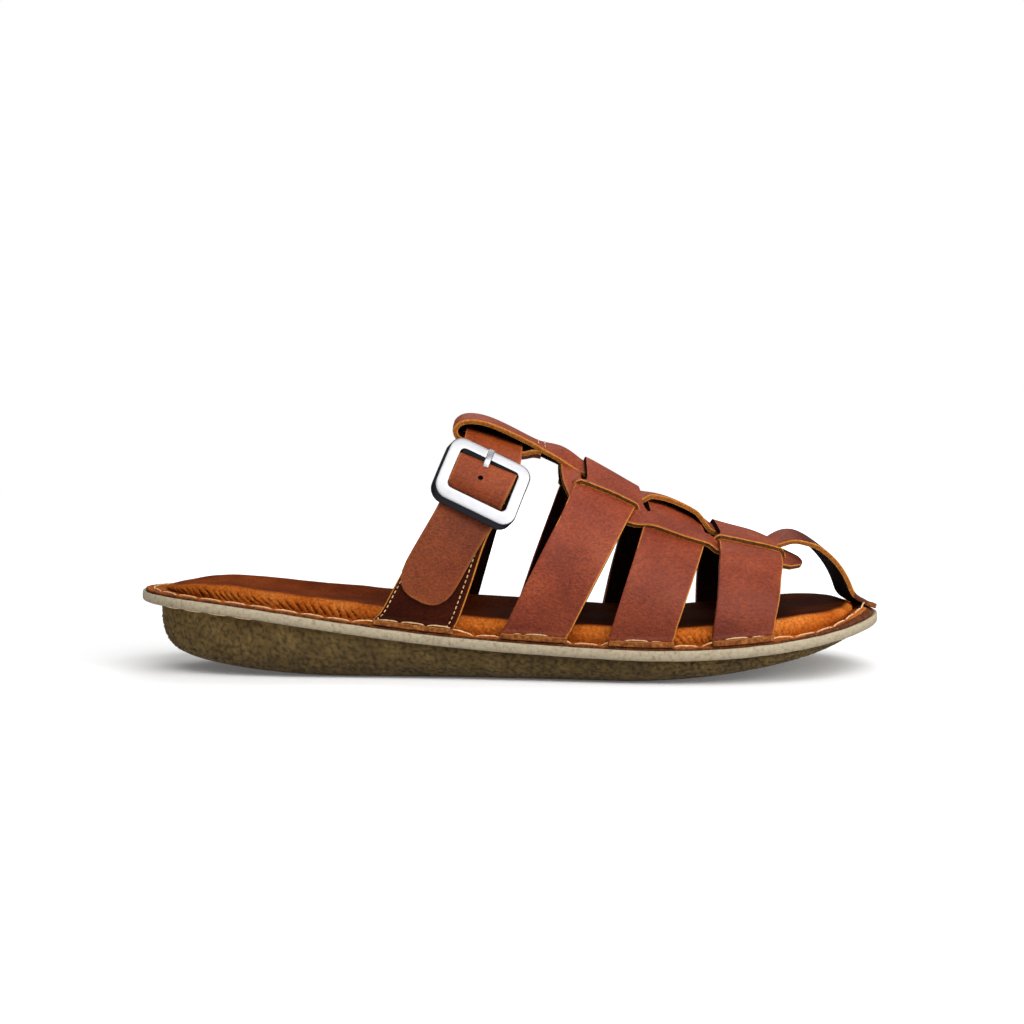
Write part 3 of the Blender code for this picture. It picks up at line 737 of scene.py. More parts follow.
def inset_outline(inset, turns):
    """Points moved in from the rim, by one distance or by a function of the place along."""
    points = rim_points(turns)
    tangent = rim_points(turns + RIM_PROBE) - rim_points(turns - RIM_PROBE)
    tangent /= np.linalg.norm(tangent, axis=1, keepdims=True)
    inward = np.stack([-tangent[:, 1], tangent[:, 0]], axis=-1)
    distance = inset(points[:, 0]) if callable(inset) else np.full(len(points), inset)
    return points + inward * distance[:, None]


@functools.lru_cache(maxsize=None)
def inset_side(inset, side):
    """One side of an inset outline as sorted along and across values."""
    start = 0 if side == LATERAL else 1
    points = inset_outline(inset, np.linspace(start, start + 1, 201))
    order = np.argsort(points[:, 0])
    return points[order, 0], points[order, 1]


@functools.lru_cache(maxsize=None)
def side_across(inset, side, along):
    """How far across the inset outline lies at a place along the shoe."""
    places, across = inset_side(inset, side)
    return float(np.interp(along, places, across))


def skirt_place(distance):
    """Inset and lift of the strap's inner face, a distance down the wall and out over the rim."""
    straight = WALL_TOP - FLANGE_LIFT - BEND_RADIUS
    arc = BEND_RADIUS * math.pi / 2
    if distance <= straight:
        return WALL_INSET, WALL_TOP - distance
    if distance <= straight + arc:
        angle = (distance - straight) / BEND_RADIUS
        inset = WALL_INSET - BEND_RADIUS * (1 - math.cos(angle))
        return round(inset, 3), FLANGE_LIFT + BEND_RADIUS * (1 - math.sin(angle))
    return round(WALL_INSET - BEND_RADIUS - (distance - straight - arc), 3), FLANGE_LIFT


SKIRT_LENGTH = (WALL_TOP - FLANGE_LIFT - BEND_RADIUS) + BEND_RADIUS * math.pi / 2
SKIRT_LENGTH += WALL_INSET - BEND_RADIUS - FLANGE_INSET
SKIRT_STOPS = [SKIRT_LENGTH * (1 - i / SKIRT_ROWS) for i in range(SKIRT_ROWS)]


def ridge_peak(along):
    """How narrow the form's ridge is: 1 is a plain oval."""
    return 1 + VAMP_PEAK * blend(*VAMP_START, along)


def form_point(along, girth):
    """Point on the form under the straps.

    Girth runs from 0 degrees at the lateral wall over the ridge at 90 to the medial wall at 180. Below 0
    and above 180 it counts millimetres down the wall and out over the rim.
    """
    side = LATERAL if girth < 90 else MEDIAL
    below = -girth if girth < 0 else girth - 180
    if below > 0:
        inset, lift = skirt_place(below)
        wander = noise.noise(Vector((along / FRAY_LENGTH, side * FRAY_SIDE_SHIFT, 0.0)))
        fray = FRAY_DEPTH * wander * blend(SKIRT_LENGTH - FRAY_WIDTH, SKIRT_LENGTH, below)
        return Vector((along, side_across(inset, side, along) + fray, rim_height(along) + lift))
    base = rim_height(along) + WALL_TOP
    middle, top = ridge(along)
    reach = side_across(WALL_INSET, side, along) - middle
    angle = math.radians(girth)
    across = reach * abs(math.cos(angle)) ** ridge_peak(along)
    return Vector((along, middle + across, base + (top - base) * math.sin(angle)))


def crown_drop(along, across):
    """How far the form falls from its ridge, a distance across from it."""
    middle, top = ridge(along)
    reach = side_across(WALL_INSET, LATERAL if across < 0 else MEDIAL, along) - middle
    share = abs(across / reach) ** (1 / ridge_peak(along))
    return (top - rim_height(along) - WALL_TOP) * (1 - math.sqrt(1 - share ** 2))


def form_normal(along, girth):
    """Outward direction of the form."""
    forward = form_point(along + FORM_PROBE, girth) - form_point(along - FORM_PROBE, girth)
    around = form_point(along, girth + FORM_PROBE) - form_point(along, girth - FORM_PROBE)
    return forward.cross(around).normalized()


def raised_point(along, girth, lift):
    """Point on the form, raised along its outward direction, with the slight waves of worn leather."""
    spot = form_point(along, girth)
    wave = sum(height * noise.noise(spot / length) for height, length in LEATHER_WAVES)
    calm = blend(*CALM_GIRTH, girth) * blend(*CALM_GIRTH, 180 - girth)
    return spot + form_normal(along, girth) * (lift + wave * calm)


def height_share(girth):
    """Share of the height to the ridge: 0 at the wall's top, 1 on the ridge, below 0 on the skirt."""
    below = -girth if girth < 90 else girth - 180
    if below > 0:
        return (skirt_place(below)[1] - WALL_TOP) / FORM_RISE
    return math.sin(math.radians(girth))


def activate(item):
    """Makes one object the only selected one."""
    bpy.ops.object.select_all(action="DESELECT")
    item.select_set(True)
    bpy.context.view_layer.objects.active = item


def apply_modifiers(item):
    """Applies an object's modifiers in their order."""
    activate(item)
    for step in list(item.modifiers):
        bpy.ops.object.modifier_apply(modifier=step.name)


def lay_sheet(name, columns, rows, place, edge=None):
    """Grid laid by a place function of a column value and a row value; edge gives the distance to a cut."""
    bpy.ops.object.select_all(action="DESELECT")
    last_column = len(columns) - 1
    last_row = len(rows) - 1
    bpy.ops.mesh.primitive_grid_add(x_subdivisions=last_column, y_subdivisions=last_row, size=2)
    item = bpy.context.object
    item.name = name
    item.data.name = name
    distances = []
    for vert in item.data.vertices:
        column = columns[round((vert.co.x + 1) / 2 * last_column)]
        row = rows[round((vert.co.y + 1) / 2 * last_row)]
        vert.co = place(column, row) * MM
        distances.append(edge(column, row) if edge else FAR_FROM_CUT)
    layer = item.data.attributes.new("cut_distance", "FLOAT", "POINT")
    layer.data.foreach_set("value", distances)
    return item


def select_faces(item, wanted):
    """Opens an object in edit mode with the faces selected that a test picks."""
    activate(item)
    bpy.ops.object.mode_set(mode="EDIT")
    bpy.ops.mesh.select_mode(type="FACE")
    bpy.ops.mesh.select_all(action="DESELECT")
    bpy.ops.object.mode_set(mode="OBJECT")
    for face in item.data.polygons:
        face.select = wanted(face)
    bpy.ops.object.mode_set(mode="EDIT")


def weld(item, threshold=0.02):
    """Closes the seams where points of a laid grid coincide, and turns the faces outwards."""
    activate(item)
    bpy.ops.object.mode_set(mode="EDIT")
    bpy.ops.mesh.select_all(action="SELECT")
    bpy.ops.mesh.remove_doubles(threshold=threshold * MM)
    bpy.ops.mesh.normals_make_consistent(inside=False)
    bpy.ops.object.mode_set(mode="OBJECT")


def leather_wall(item, thickness, finishes, bevelled=True):
    """Gives a laid sheet its thickness on the outer side and, where asked, rounded cut edges."""
    for finish in finishes:
        item.data.materials.append(finish)
    wall = item.modifiers.new("wall", "SOLIDIFY")
    wall.thickness = thickness * MM
    wall.offset = 1.0
    wall.use_even_offset = True
    wall.material_offset_rim = CUT
    wall.material_offset = FLESH
    if bevelled:
        edges = item.modifiers.new("edges", "BEVEL")
        edges.width = EDGE_ROUND * MM
        edges.segments = 2
        edges.limit_method = "ANGLE"
        edges.angle_limit = math.radians(EDGE_ANGLE)
        # The rounded edges take the light line, a painted highlight.
        edges.material = HIGHLIGHT_LINE
    apply_modifiers(item)
    smooth(item)


def line_edges(item):
    """Draws the two light lines of painted highlight along a cut edge whose slits are too fine for a bevel,
    and bulges the cut.
    """
    count = len(item.data.polygons)
    select_faces(item, lambda face: face.material_index == CUT)
    bpy.ops.mesh.inset(thickness=EDGE_ROUND * MM, depth=EDGE_BULGE * MM, use_even_offset=False)
    bpy.ops.object.mode_set(mode="OBJECT")
    for face in item.data.polygons:
        if face.index >= count:
            face.material_index = HIGHLIGHT_LINE


def finish_edges(item, painted_rear_shade=lambda along, across: False, dye=GRAIN):
    """Gives cut ends on the rim their rough suede and, where asked, paints rear-facing cut edges dark as
    painted shade.
    """
    for face in item.data.polygons:
        if face.material_index in (CUT, HIGHLIGHT_LINE):
            along, across, height = face.center / MM
            on_rim = height < rim_height(along) + FLANGE_LIFT + LEATHER + FOOT_EDGE
            if on_rim and face.normal.z < 0.8:
                face.material_index = SUEDE
            # Painted shade: rear-facing cut edges take the darker finish given as dye.
            elif painted_rear_shade(along, across) and face.normal.x < -0.2:
                face.material_index = dye


def smooth(item, angle=38):
    """Smooth shading up to an angle."""
    activate(item)
    bpy.ops.object.shade_smooth_by_angle(angle=math.radians(angle))


def finish_piece(item, node=None):
    """Sets a piece on the shoe's one body and hides the solid that it stands for."""
    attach(item, "root")
    if node:
        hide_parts(node)


def linear(code):
    """Linear colour of an sRGB hex code."""
    channels = [int(code[i:i + 2], 16) / 255 for i in (1, 3, 5)]
    return [c / 12.92 if c <= 0.04045 else ((c + 0.055) / 1.055) ** 2.4 for c in channels] + [1.0]


def add(owner, kind, out, inputs=None, stops=(), **settings):
    """Adds a node with its settings and gives one of its outputs.

    An input is a value, or a socket to link from. Stops are the places and sRGB colours of a colour ramp.
    """
    tree = owner.node_tree
    item = tree.nodes.new("ShaderNode" + kind)
    for key, value in settings.items():
        setattr(item, key, value)
    for key, value in (inputs or {}).items():
        if isinstance(value, bpy.types.NodeSocket):
            tree.links.new(value, item.inputs[key])
        else:
            item.inputs[key].default_value = value
    while stops and len(item.color_ramp.elements) < len(stops):
        item.color_ramp.elements.new(0.5)
    for number, (place, code) in enumerate(stops):
        item.color_ramp.elements[number].position = place
        item.color_ramp.elements[number].color = linear(code)
    return item.outputs[out]


def new_material(name, roughness, **sockets):
    """Principled material with its even values set on the shader's own sockets."""
    material = bpy.data.materials.new(name)
    material.use_nodes = True
    shader = material.node_tree.nodes["Principled BSDF"]
    shader.inputs["Roughness"].default_value = roughness
    for key, value in sockets.items():
        shader.inputs[key.replace("_", " ")].default_value = value
    return material, shader


def feed(material, shader, **sockets):
    """Links sockets into the shader."""
    for key, socket in sockets.items():
        material.node_tree.links.new(socket, shader.inputs[key.replace("_", " ")])


def per_mm(size):
    """Pattern scale on metre coordinates for a feature of a size in millimetres."""
    return 1000.0 / size


# Settings and colour output of a Mix node that blends two colours, or multiplies one by the other.
MIXED = {"out": 2, "data_type": "RGBA"}
TINT = {"out": 2, "data_type": "RGBA", "blend_type": "MULTIPLY"}


def grain_leather(name, tones, worn, painted_shade, shine=0.2):
    """Waxed full-grain leather: mottled dye, fine pores and creases, a dull shine and paler worn edges.

    Shade is painted in: the colour is darker towards the sole and at the toe. The fourth argument gives
    two heights, and the share of tone that is left at the lower one.
    """
    low, high, shaded_share = painted_shade
    material, shader = new_material(name, 0.5, Specular_IOR_Level=shine)
    place = add(material, "TexCoord", "Object")
    dye = add(material, "TexNoise", "Fac",
              {"Vector": place, "Scale": per_mm(22), "Detail": 3.0, "Roughness": 0.5})
    colour = add(material, "ValToRGB", "Color", {"Fac": dye},
                 ((0.3, tones[0]), (0.52, tones[1]), (0.74, tones[2])))
    # Real pores are about 0.2 mm; they are drawn at 0.7 mm so that they show at the picture's size.
    speck = add(material, "TexNoise", "Fac", {"Vector": place, "Scale": per_mm(0.7), "Detail": 2.0})
    pores = add(material, "TexVoronoi", "Distance", {"Vector": place, "Scale": per_mm(0.9)})
    # The creases run across the straps, which all climb steeply, so they are drawn out sideways.
    drawn = add(material, "VectorMath", "Vector", {0: place, 1: (0.55, 0.55, 1.0)}, operation="MULTIPLY")
    crease = add(material, "TexNoise", "Fac", {"Vector": drawn, "Scale": per_mm(0.8), "Detail": 2.0})
    both = add(material, "Math", "Value", {0: speck, 1: crease}, operation="ADD")
    dark = add(material, "MapRange", "Result",
               {"Value": both, "From Min": 0.7, "From Max": 1.3, "To Min": 0.6, "To Max": 1.2})
    shaded = add(material, "Mix", inputs={0: 1.0, 6: colour, 7: dark}, **TINT)
    cut = add(material, "Attribute", "Fac", attribute_name="cut_distance")
    near = add(material, "MapRange", "Result",
               {"Value": cut, "From Min": 0.0, "From Max": 0.9, "To Min": 0.4, "To Max": 0.0})
    edged = add(material, "Mix", inputs={0: near, 6: shaded, 7: linear(worn)}, **MIXED)
    height = add(material, "SeparateXYZ", "Z", {"Vector": place})
    along = add(material, "SeparateXYZ", "X", {"Vector": place})
    # Painted shade: the colour darkens below the given heights, towards the sole, and again at the toe.
    shade_by_height = add(material, "MapRange", "Result",
                  {"Value": height, "From Min": low * MM, "From Max": high * MM, "To Min": shaded_share,
                   "To Max": 1.06})
    toe = add(material, "MapRange", "Result",
              {"Value": along, "From Min": 100 * MM, "From Max": 114 * MM, "To Min": 1.0, "To Max": 0.37})
    tone = add(material, "Math", "Value", {0: shade_by_height, 1: toe}, operation="MULTIPLY")
    edged_and_shaded = add(material, "Mix", inputs={0: 1.0, 6: edged, 7: tone}, **TINT)
    gloss = add(material, "MapRange", "Result", {"Value": speck, "To Min": 0.38, "To Max": 0.66})
    folds = add(material, "Bump", "Normal", {"Height": crease, "Strength": 0.5, "Distance": 0.5 * MM})
    fine = add(material, "Bump", "Normal",
               {"Height": speck, "Strength": 0.4, "Distance": 0.25 * MM, "Normal": folds})
    bump = add(material, "Bump", "Normal",
               {"Height": pores, "Strength": 0.45, "Distance": 0.2 * MM, "Normal": fine})
    feed(material, shader, Base_Color=edged_and_shaded, Roughness=gloss, Normal=bump)
    return material


def raw_leather(name, tones, fibre, roughness=0.8, shine=0.15):
    """Cut or flesh side of leather: matt, fibrous and uneven in colour."""
    material, shader = new_material(name, roughness, Specular_IOR_Level=shine)
    place = add(material, "TexCoord", "Object")
    fuzz = add(material, "TexNoise", "Fac",
               {"Vector": place, "Scale": per_mm(fibre), "Detail": 4.0, "Roughness": 0.65})
    colour = add(material, "ValToRGB", "Color", {"Fac": fuzz},
                 ((0.28, tones[0]), (0.5, tones[1]), (0.72, tones[2])))
    bump = add(material, "Bump", "Normal", {"Height": fuzz, "Strength": 0.6, "Distance": 0.4 * MM})
    feed(material, shader, Base_Color=colour, Normal=bump)
    return material


def crepe_rubber():
    """Natural crepe rubber: matt olive brown, with painted shade that darkens it low down and in the creases
    between its pebbles.
    """
    material, shader = new_material("olive_crepe_rubber", 0.85, Specular_IOR_Level=0.3)
    place = add(material, "TexCoord", "Object")
    cloud = add(material, "TexNoise", "Fac", {"Vector": place, "Scale": per_mm(9), "Detail": 4.0})
    colour = add(material, "ValToRGB", "Color", {"Fac": cloud},
                 ((0.3, "#4C3A1A"), (0.5, "#594520"), (0.7, "#67522B")))
    # Painted shade: darker in the creases between the pebbles, lighter on their tops, and darker low down.
    crease_shade = add(material, "Attribute", "Fac", attribute_name="cut_distance")
    dark = add(material, "MapRange", "Result", {"Value": crease_shade, "To Min": 0.5, "To Max": 1.12})
    height = add(material, "SeparateXYZ", "Z", {"Vector": place})
    lower = add(material, "MapRange", "Result",
                {"Value": height, "From Max": 24 * MM, "To Min": 0.56, "To Max": 1.12})
    tone = add(material, "Math", "Value", {0: dark, 1: lower}, operation="MULTIPLY")
    shaded = add(material, "Mix", inputs={0: 1.0, 6: colour, 7: tone}, **TINT)
    grit = add(material, "TexNoise", "Fac", {"Vector": place, "Scale": per_mm(0.8), "Detail": 3.0})
    bump = add(material, "Bump", "Normal", {"Height": grit, "Strength": 0.5, "Distance": 0.35 * MM})
    feed(material, shader, Base_Color=shaded, Normal=bump)
    return material


def pale_rubber():
    """Foamed rubber of the rim board: pale, matt, speckled and darker towards its lower edge."""
    material, shader = new_material("pale_cut_rubber", 0.8, Specular_IOR_Level=0.3)
    place = add(material, "TexCoord", "Object")
    speck = add(material, "TexNoise", "Fac",
                {"Vector": place, "Scale": per_mm(1.3), "Detail": 5.0, "Roughness": 0.7})
    colour = add(material, "ValToRGB", "Color", {"Fac": speck},
                 ((0.3, "#746650"), (0.46, "#968972"), (0.7, "#A4987F")))
    height = add(material, "Attribute", "Fac", attribute_name="cut_distance")
    low_darkening = add(material, "MapRange", "Result",
               {"Value": height, "From Max": 3.0, "To Min": 0.74, "To Max": 1.14})
    shaded = add(material, "Mix", inputs={0: 1.0, 6: colour, 7: low_darkening}, **TINT)
    bump = add(material, "Bump", "Normal", {"Height": speck, "Strength": 0.5, "Distance": 0.3 * MM})
    feed(material, shader, Base_Color=shaded, Normal=bump)
    return material


def footbed_cover():
    """Soft pull-up leather: orange tan on the padded side, rubbed darker and redder on the tread, with
    painted shadow on the tread under the straps, painted shade in the gathers and the padded side painted
    lighter towards the toe.
    """
    material, shader = new_material("soft_footbed_leather", 0.7, Specular_IOR_Level=0.02)
    place = add(material, "TexCoord", "Object")
    cloud = add(material, "TexNoise", "Fac", {"Vector": place, "Scale": per_mm(14), "Detail": 5.0})
    side = add(material, "ValToRGB", "Color", {"Fac": cloud},
               ((0.3, "#9A4A14"), (0.5, "#B05C1E"), (0.7, "#C27030")))
    top = add(material, "ValToRGB", "Color", {"Fac": cloud},
              ((0.3, "#5C2307"), (0.5, "#6C2C0A"), (0.7, "#7C380F")))
    turn = add(material, "Attribute", "Fac", attribute_name="cut_distance")
    along = add(material, "SeparateXYZ", "X", {"Vector": place})
    # Painted light: the padded side gets lighter towards the toe.
    painted_toe_light = add(material, "MapRange", "Result",
                  {"Value": along, "From Min": -120 * MM, "From Max": 110 * MM, "To Min": 0.76,
                   "To Max": 1.08})
    # Painted shadow: the tread darkens from the heel forward, under the straps.
    painted_strap_shadow = add(material, "MapRange", "Result",
                 {"Value": along, "From Min": -100 * MM, "From Max": 10 * MM, "To Min": 1.0, "To Max": 0.3})
    # Painted shade in the gathers of the cover.
    crease_shade = add(material, "MapRange", "Result",
                 {"Value": turn, "From Min": -0.8, "From Max": -0.1, "To Min": 0.3, "To Max": 1.0})
    fold = add(material, "Math", "Value", {0: painted_toe_light, 1: crease_shade}, operation="MULTIPLY")
    side = add(material, "Mix", inputs={0: 1.0, 6: side, 7: fold}, **TINT)
    top = add(material, "Mix", inputs={0: 1.0, 6: top, 7: painted_strap_shadow}, **TINT)
    both = add(material, "Mix", inputs={0: turn, 6: side, 7: top}, **MIXED)
    # The grain is about 0.4 mm wide; it is drawn at 0.9 mm so that it shows at the picture's size.
    speck = add(material, "TexNoise", "Fac", {"Vector": place, "Scale": per_mm(0.9), "Detail": 3.0})
    pores = add(material, "MapRange", "Result",
                {"Value": speck, "From Min": 0.32, "From Max": 0.68, "To Min": 0.62, "To Max": 1.2})
    dyed = add(material, "Mix", inputs={0: 1.0, 6: both, 7: pores}, **TINT)
    grain = add(material, "TexVoronoi", "Distance", {"Vector": place, "Scale": per_mm(0.9)})
    bump = add(material, "Bump", "Normal", {"Height": grain, "Strength": 0.6, "Distance": 0.3 * MM})
    feed(material, shader, Base_Color=dyed, Normal=bump)
    return material


def polished_steel(name, tone, roughness):
    """Polished nickel-plated steel: bright, with a faint brushed blur."""
    material, shader = new_material(name, roughness, Metallic=1.0, Base_Color=linear(tone))
    place = add(material, "TexCoord", "Object")
    blur = add(material, "TexNoise", "Fac", {"Vector": place, "Scale": per_mm(2.5), "Detail": 3.0})
    rough = add(material, "MapRange", "Result",
                {"Value": blur, "To Min": roughness - 0.06, "To Max": roughness + 0.1})
    feed(material, shader, Roughness=rough)
    return material


def waxed_thread():
    """Waxed cream cotton thread: pale, matt, with a fine twist."""
    material, shader = new_material("waxed_cream_thread", 0.75, Sheen_Weight=0.2)
    place = add(material, "TexCoord", "Object")
    fibre = add(material, "TexNoise", "Fac", {"Vector": place, "Scale": per_mm(0.7), "Detail": 2.0})
    colour = add(material, "ValToRGB", "Color", {"Fac": fibre},
                 ((0.3, "#B48A55"), (0.5, "#CFA672"), (0.7, "#E0C092")))
    feed(material, shader, Base_Color=colour)
    return material


strap_face = grain_leather("waxed_strap_leather", ("#722A13", "#84361B", "#954425"), "#B0662E", (14, 60, 0.7))
instep_face = grain_leather("waxed_instep_leather", ("#76300F", "#873A15", "#97481E"), "#B86C2E",
                            (56, 76, 0.62))
quarter_face = grain_leather("dark_quarter_leather", ("#250902", "#320D03", "#3E1405"), "#7A4216",
                             (14, 60, 0.9), 0.05)
strap_edge = raw_leather("cut_strap_edge", ("#2E1607", "#4A290F", "#6A4018"), 0.9)
tan_edge = raw_leather("tan_cut_edge", ("#6E3C12", "#8C521C", "#A66A2C"), 0.9)
# Painted highlight: a light colour for the rounded edges of every cut.
highlight_line_leather = raw_leather("highlight_edge_line", ("#9A581A", "#B4702A", "#C88A40"), 0.9)
# Painted shade: the flesh side, which lies mostly in shadow under and inside the straps, is coloured near
# black.
shaded_flesh_leather = raw_leather("flesh_side_painted_shade", ("#120503", "#1A0804", "#261008"), 1.4, 0.95, 0.04)
rim_suede = raw_leather("rough_rim_leather", ("#3E1C0A", "#744019", "#A86A34"), 1.3)
flange_edge = raw_leather("dark_flange_edge", ("#2A1006", "#54280F", "#80481E"), 1.2)
outsole_rubber = crepe_rubber()
midsole_rubber = pale_rubber()
footbed_leather = footbed_cover()
# Lit and shaded copies of one steel: the dark copy is painted shade on the frame's sides and its centre bar.
steel_face = polished_steel("polished_steel", "#A2A2A5", 0.36)
shaded_steel_side = polished_steel("shaded_steel_edge", "#28282C", 0.4)
thread = waxed_thread()


def strap_finishes(face, edge):
    """Finishes of a strap in their places: grain, cut edge, flesh side darkened as painted shade, light line
    of painted highlight and rough end.
    """
    return face, edge, shaded_flesh_leather, highlight_line_leather, rim_suede


def even_shares(count):
    """Even steps from 0 to 1."""
    return [i / count for i in range(count + 1)]


def leg_edges(leg, height):
    """Rear and front edge of a leg at a share of the height to the ridge."""
    climb = (height - FOOT_SHARE) / (1 - FOOT_SHARE)
    rear = leg.foot_rear + (leg.ridge_rear - leg.foot_rear) * climb
    front = leg.foot_front + (leg.ridge_front - leg.foot_front) * climb
    return rear, front - leg.waist * math.sin(math.pi * climb)


def leg_place(leg):
    """Place function of a leg: share across its width, girth."""
    lift = soft_steps(LEG_OVER if leg.over else LEG_UNDER)

    def place(share, girth):
        rear, front = leg_edges(leg, height_share(girth))
        along = rear + (front - rear) * share
        return raised_point(along, girth, lift(girth if leg.side == LATERAL else 180 - girth))

    return place


def build_leg(leg):
    """Strap from its sewn flange on the rim up into the saddle."""
    girths = [-stop for stop in SKIRT_STOPS] + [1.5 * i for i in range(41)]
    if leg.side == MEDIAL:
        girths = [180 - girth for girth in reversed(girths)]
    width = leg.foot_front - leg.foot_rear
    item = lay_sheet(leg.name, even_shares(STRAP_COLUMNS), girths, leg_place(leg),
                     lambda share, girth: (1 - share) * width)
    leather_wall(item, LEATHER, strap_finishes(strap_face, strap_edge))
    # Painted shade: the leg's rear-facing cut edges take the grain's darker colour.
    finish_edges(item, lambda along, across: True)
    finish_piece(item)


saddle_panel = soft_steps(SADDLE_PANEL)
saddle_edge = soft_steps(SADDLE_EDGE)
saddle_margin = soft_steps(SADDLE_MARGINS)


def leg_slit(leg):
    """Rear and front end of the slit that a leg goes through."""
    rear, front = leg_edges(leg, math.sin(math.radians(90 - LEG_SLIT)))
    return rear - LEG_SLIT_PLAY, front + LEG_SLIT_PLAY


SLITS = {side: [leg_slit(leg) for leg in LEGS if leg.side == side and leg.over] for side in (LATERAL, MEDIAL)}
SADDLE_ENDS = [SADDLE_REAR, *[slit for slit, gap in SADDLE_SLITS], SADDLE_FRONT]


def slit_window(side, along):
    """How far the slit of a leg, which has round ends, stands open: 0 outside it, 1 inside."""
    opened = 0.0
    for rear, front in SLITS[side]:
        opened = max(opened, between((rear, rear + LEG_SLIT_END), (front - LEG_SLIT_END, front), along))
    return math.sqrt(opened)


def bridge_level(along, after):
    """Level of the saddle's stretch between two slits of the centre strap."""
    for start, end, levels in zip(SADDLE_ENDS, SADDLE_ENDS[1:], SADDLE_BRIDGES):
        inside = start < along < end or (along == start and after) or (along == end and not after)
        if inside or (start == SADDLE_REAR and along <= start):
            share = (along - start) / (end - start)
            ramp_up = blend(0.0, 0.4, share)
            ramp_down = blend(0.6, 1.0, share)
            return levels[0] + (levels[1] - levels[0]) * ramp_up + (levels[2] - levels[1]) * ramp_down
    return SADDLE_BRIDGES[-1][2]


def slit_gap(along, after):
    """How far a place by a slit of the centre strap is drawn back from it."""
    shift = 0.0
    for slit, gap in SADDLE_SLITS:
        away = along - slit
        if abs(away) < SLIT_DRAW:
            ahead = away > 0 or (away == 0 and after)
            shift += (gap / 2) * (1 - abs(away) / SLIT_DRAW) * (1 if ahead else -1)
    return shift


def saddle_lift(along, after, from_ridge, beyond, side):
    """How far the saddle stands off the form; after and beyond tell the two lips of a slit apart."""
    panel = saddle_panel(along)
    margin = saddle_edge(along)
    seam = 0.5 * (panel + margin)
    window = slit_window(side, along)
    if beyond:
        lip = margin * window + seam * (1 - window)
        return lip + (margin - lip) * blend(LEG_SLIT, LEG_SLIT + LIP_FADE, from_ridge)
    lip = LIP_LIFT * window + seam * (1 - window)
    outer = panel + (lip - panel) * blend(LIP_START, LEG_SLIT, from_ridge)
    middle = bridge_level(along, after)
    return middle + (outer - middle) * blend(SLIT_INNER, SLIT_OUTER, from_ridge)


def saddle_stops():
    """Columns along the saddle and rows across it, with the lips of each slit as a pair of stops."""
    columns = []
    for start, end in zip(SADDLE_ENDS, SADDLE_ENDS[1:]):
        count = round((end - start) / SADDLE_STEP)
        columns += [(start, True)] + [(start + (end - start) * i / count, False) for i in range(1, count)]
        columns.append((end, False))
    inner = [LEG_SLIT * i / 24 for i in range(25)]
    outer = [1 + i / 7 for i in range(8)]
    half = [(degrees / LEG_SLIT, False) for degrees in inner] + [(row, True) for row in outer]
    rows = [(-row, beyond) for row, beyond in reversed(half)] + half[1:]
    return columns, rows


def build_saddle():
    """Leather saddle over the forefoot, slit for the straps that are woven through it."""
    columns, rows = saddle_stops()

    def spot(column, row):
        base = column[0]
        reach = abs(row[0])
        side = LATERAL if row[0] < 0 else MEDIAL
        share = (base - SADDLE_REAR) / (SADDLE_FRONT - SADDLE_REAR)
        spread = reach * LEG_SLIT_SHARE if reach < 1 else LEG_SLIT_SHARE + (reach - 1) * MARGIN_SHARE
        corner = spread ** 6
        along = base + REAR_CORNER * corner * (1 - share) ** 3 - FRONT_CORNER * corner * share ** 9
        bow = FRONT_BOW * (1 - spread ** 4) * share ** 9
        along += bow - SLIT_LEAN * (1 - spread) * share * (1 - share ** 6)
        margin = saddle_margin(along)
        from_ridge = reach * LEG_SLIT if reach <= 1 else LEG_SLIT + (reach - 1) * (margin - LEG_SLIT)
        along += slit_gap(base, column[1]) * math.sqrt(1 - blend(SLIT_INNER, SLIT_OUTER, from_ridge))
        return base, along, from_ridge, side

    def place(column, row):
        base, along, from_ridge, side = spot(column, row)
        lift = saddle_lift(base, column[1], from_ridge, row[1], side)
        return raised_point(along, 90 + side * from_ridge, lift)

    def edge(column, row):
        base, along, from_ridge, side = spot(column, row)
        to_margin = (saddle_margin(along) - from_ridge) * DEGREE_LENGTH
        distance = min(base - SADDLE_REAR, SADDLE_FRONT - base, to_margin)
        if slit_window(side, base) > 0.3 and not row[1]:
            distance = min(distance, (LEG_SLIT - from_ridge) * DEGREE_LENGTH)
        return distance

    def in_slit(face):
        row, column = divmod(face.index, len(columns) - 1)
        return column + 1 in flat_columns or row + 1 in flat_rows

    def shaded_by_slit(along, across):
        return SHADED_SLIT_SPAN[0] < along < SHADED_SLIT_SPAN[1] and abs(across - ridge(along)[0]) < SHADED_SLIT_REACH

    item = lay_sheet("saddle", columns, rows, place, edge)
    flat_columns = {i for i in range(1, len(columns)) if columns[i][0] == columns[i - 1][0]}
    flat_rows = {i for i in range(1, len(rows)) if abs(rows[i][0]) == 1 and abs(rows[i - 1][0]) == 1}
    select_faces(item, in_slit)
    bpy.ops.mesh.delete(type="ONLY_FACE")
    bpy.ops.mesh.select_all(action="SELECT")
    bpy.ops.mesh.remove_doubles(threshold=0.004 * MM)
    bpy.ops.object.mode_set(mode="OBJECT")
    leather_wall(item, LEATHER, strap_finishes(strap_face, strap_edge), bevelled=False)
    line_edges(item)
    # Painted shade: rear-facing cut edges by the slits take the near-black flesh colour.
    finish_edges(item, shaded_by_slit, FLESH)
    finish_piece(item, "upper")


def centre_route():
    """Underside of the centre strap from its toe flange to the end of its loop."""
    tip = HALF_LENGTH - TOE_FOOT_INSET
    toe_lift = rim_height(HALF_LENGTH - 6) + FLANGE_LIFT
    foot = [(tip, rim_height(tip) + FLANGE_LIFT)]
    foot += [(HALF_LENGTH - back, toe_lift + lift) for back, lift in TOE_FOOT]
    return [Vector((x, 0, z)) for x, z in (*foot, *CENTRE_STRAP_ROUTE, *LOOP_RETURN)]


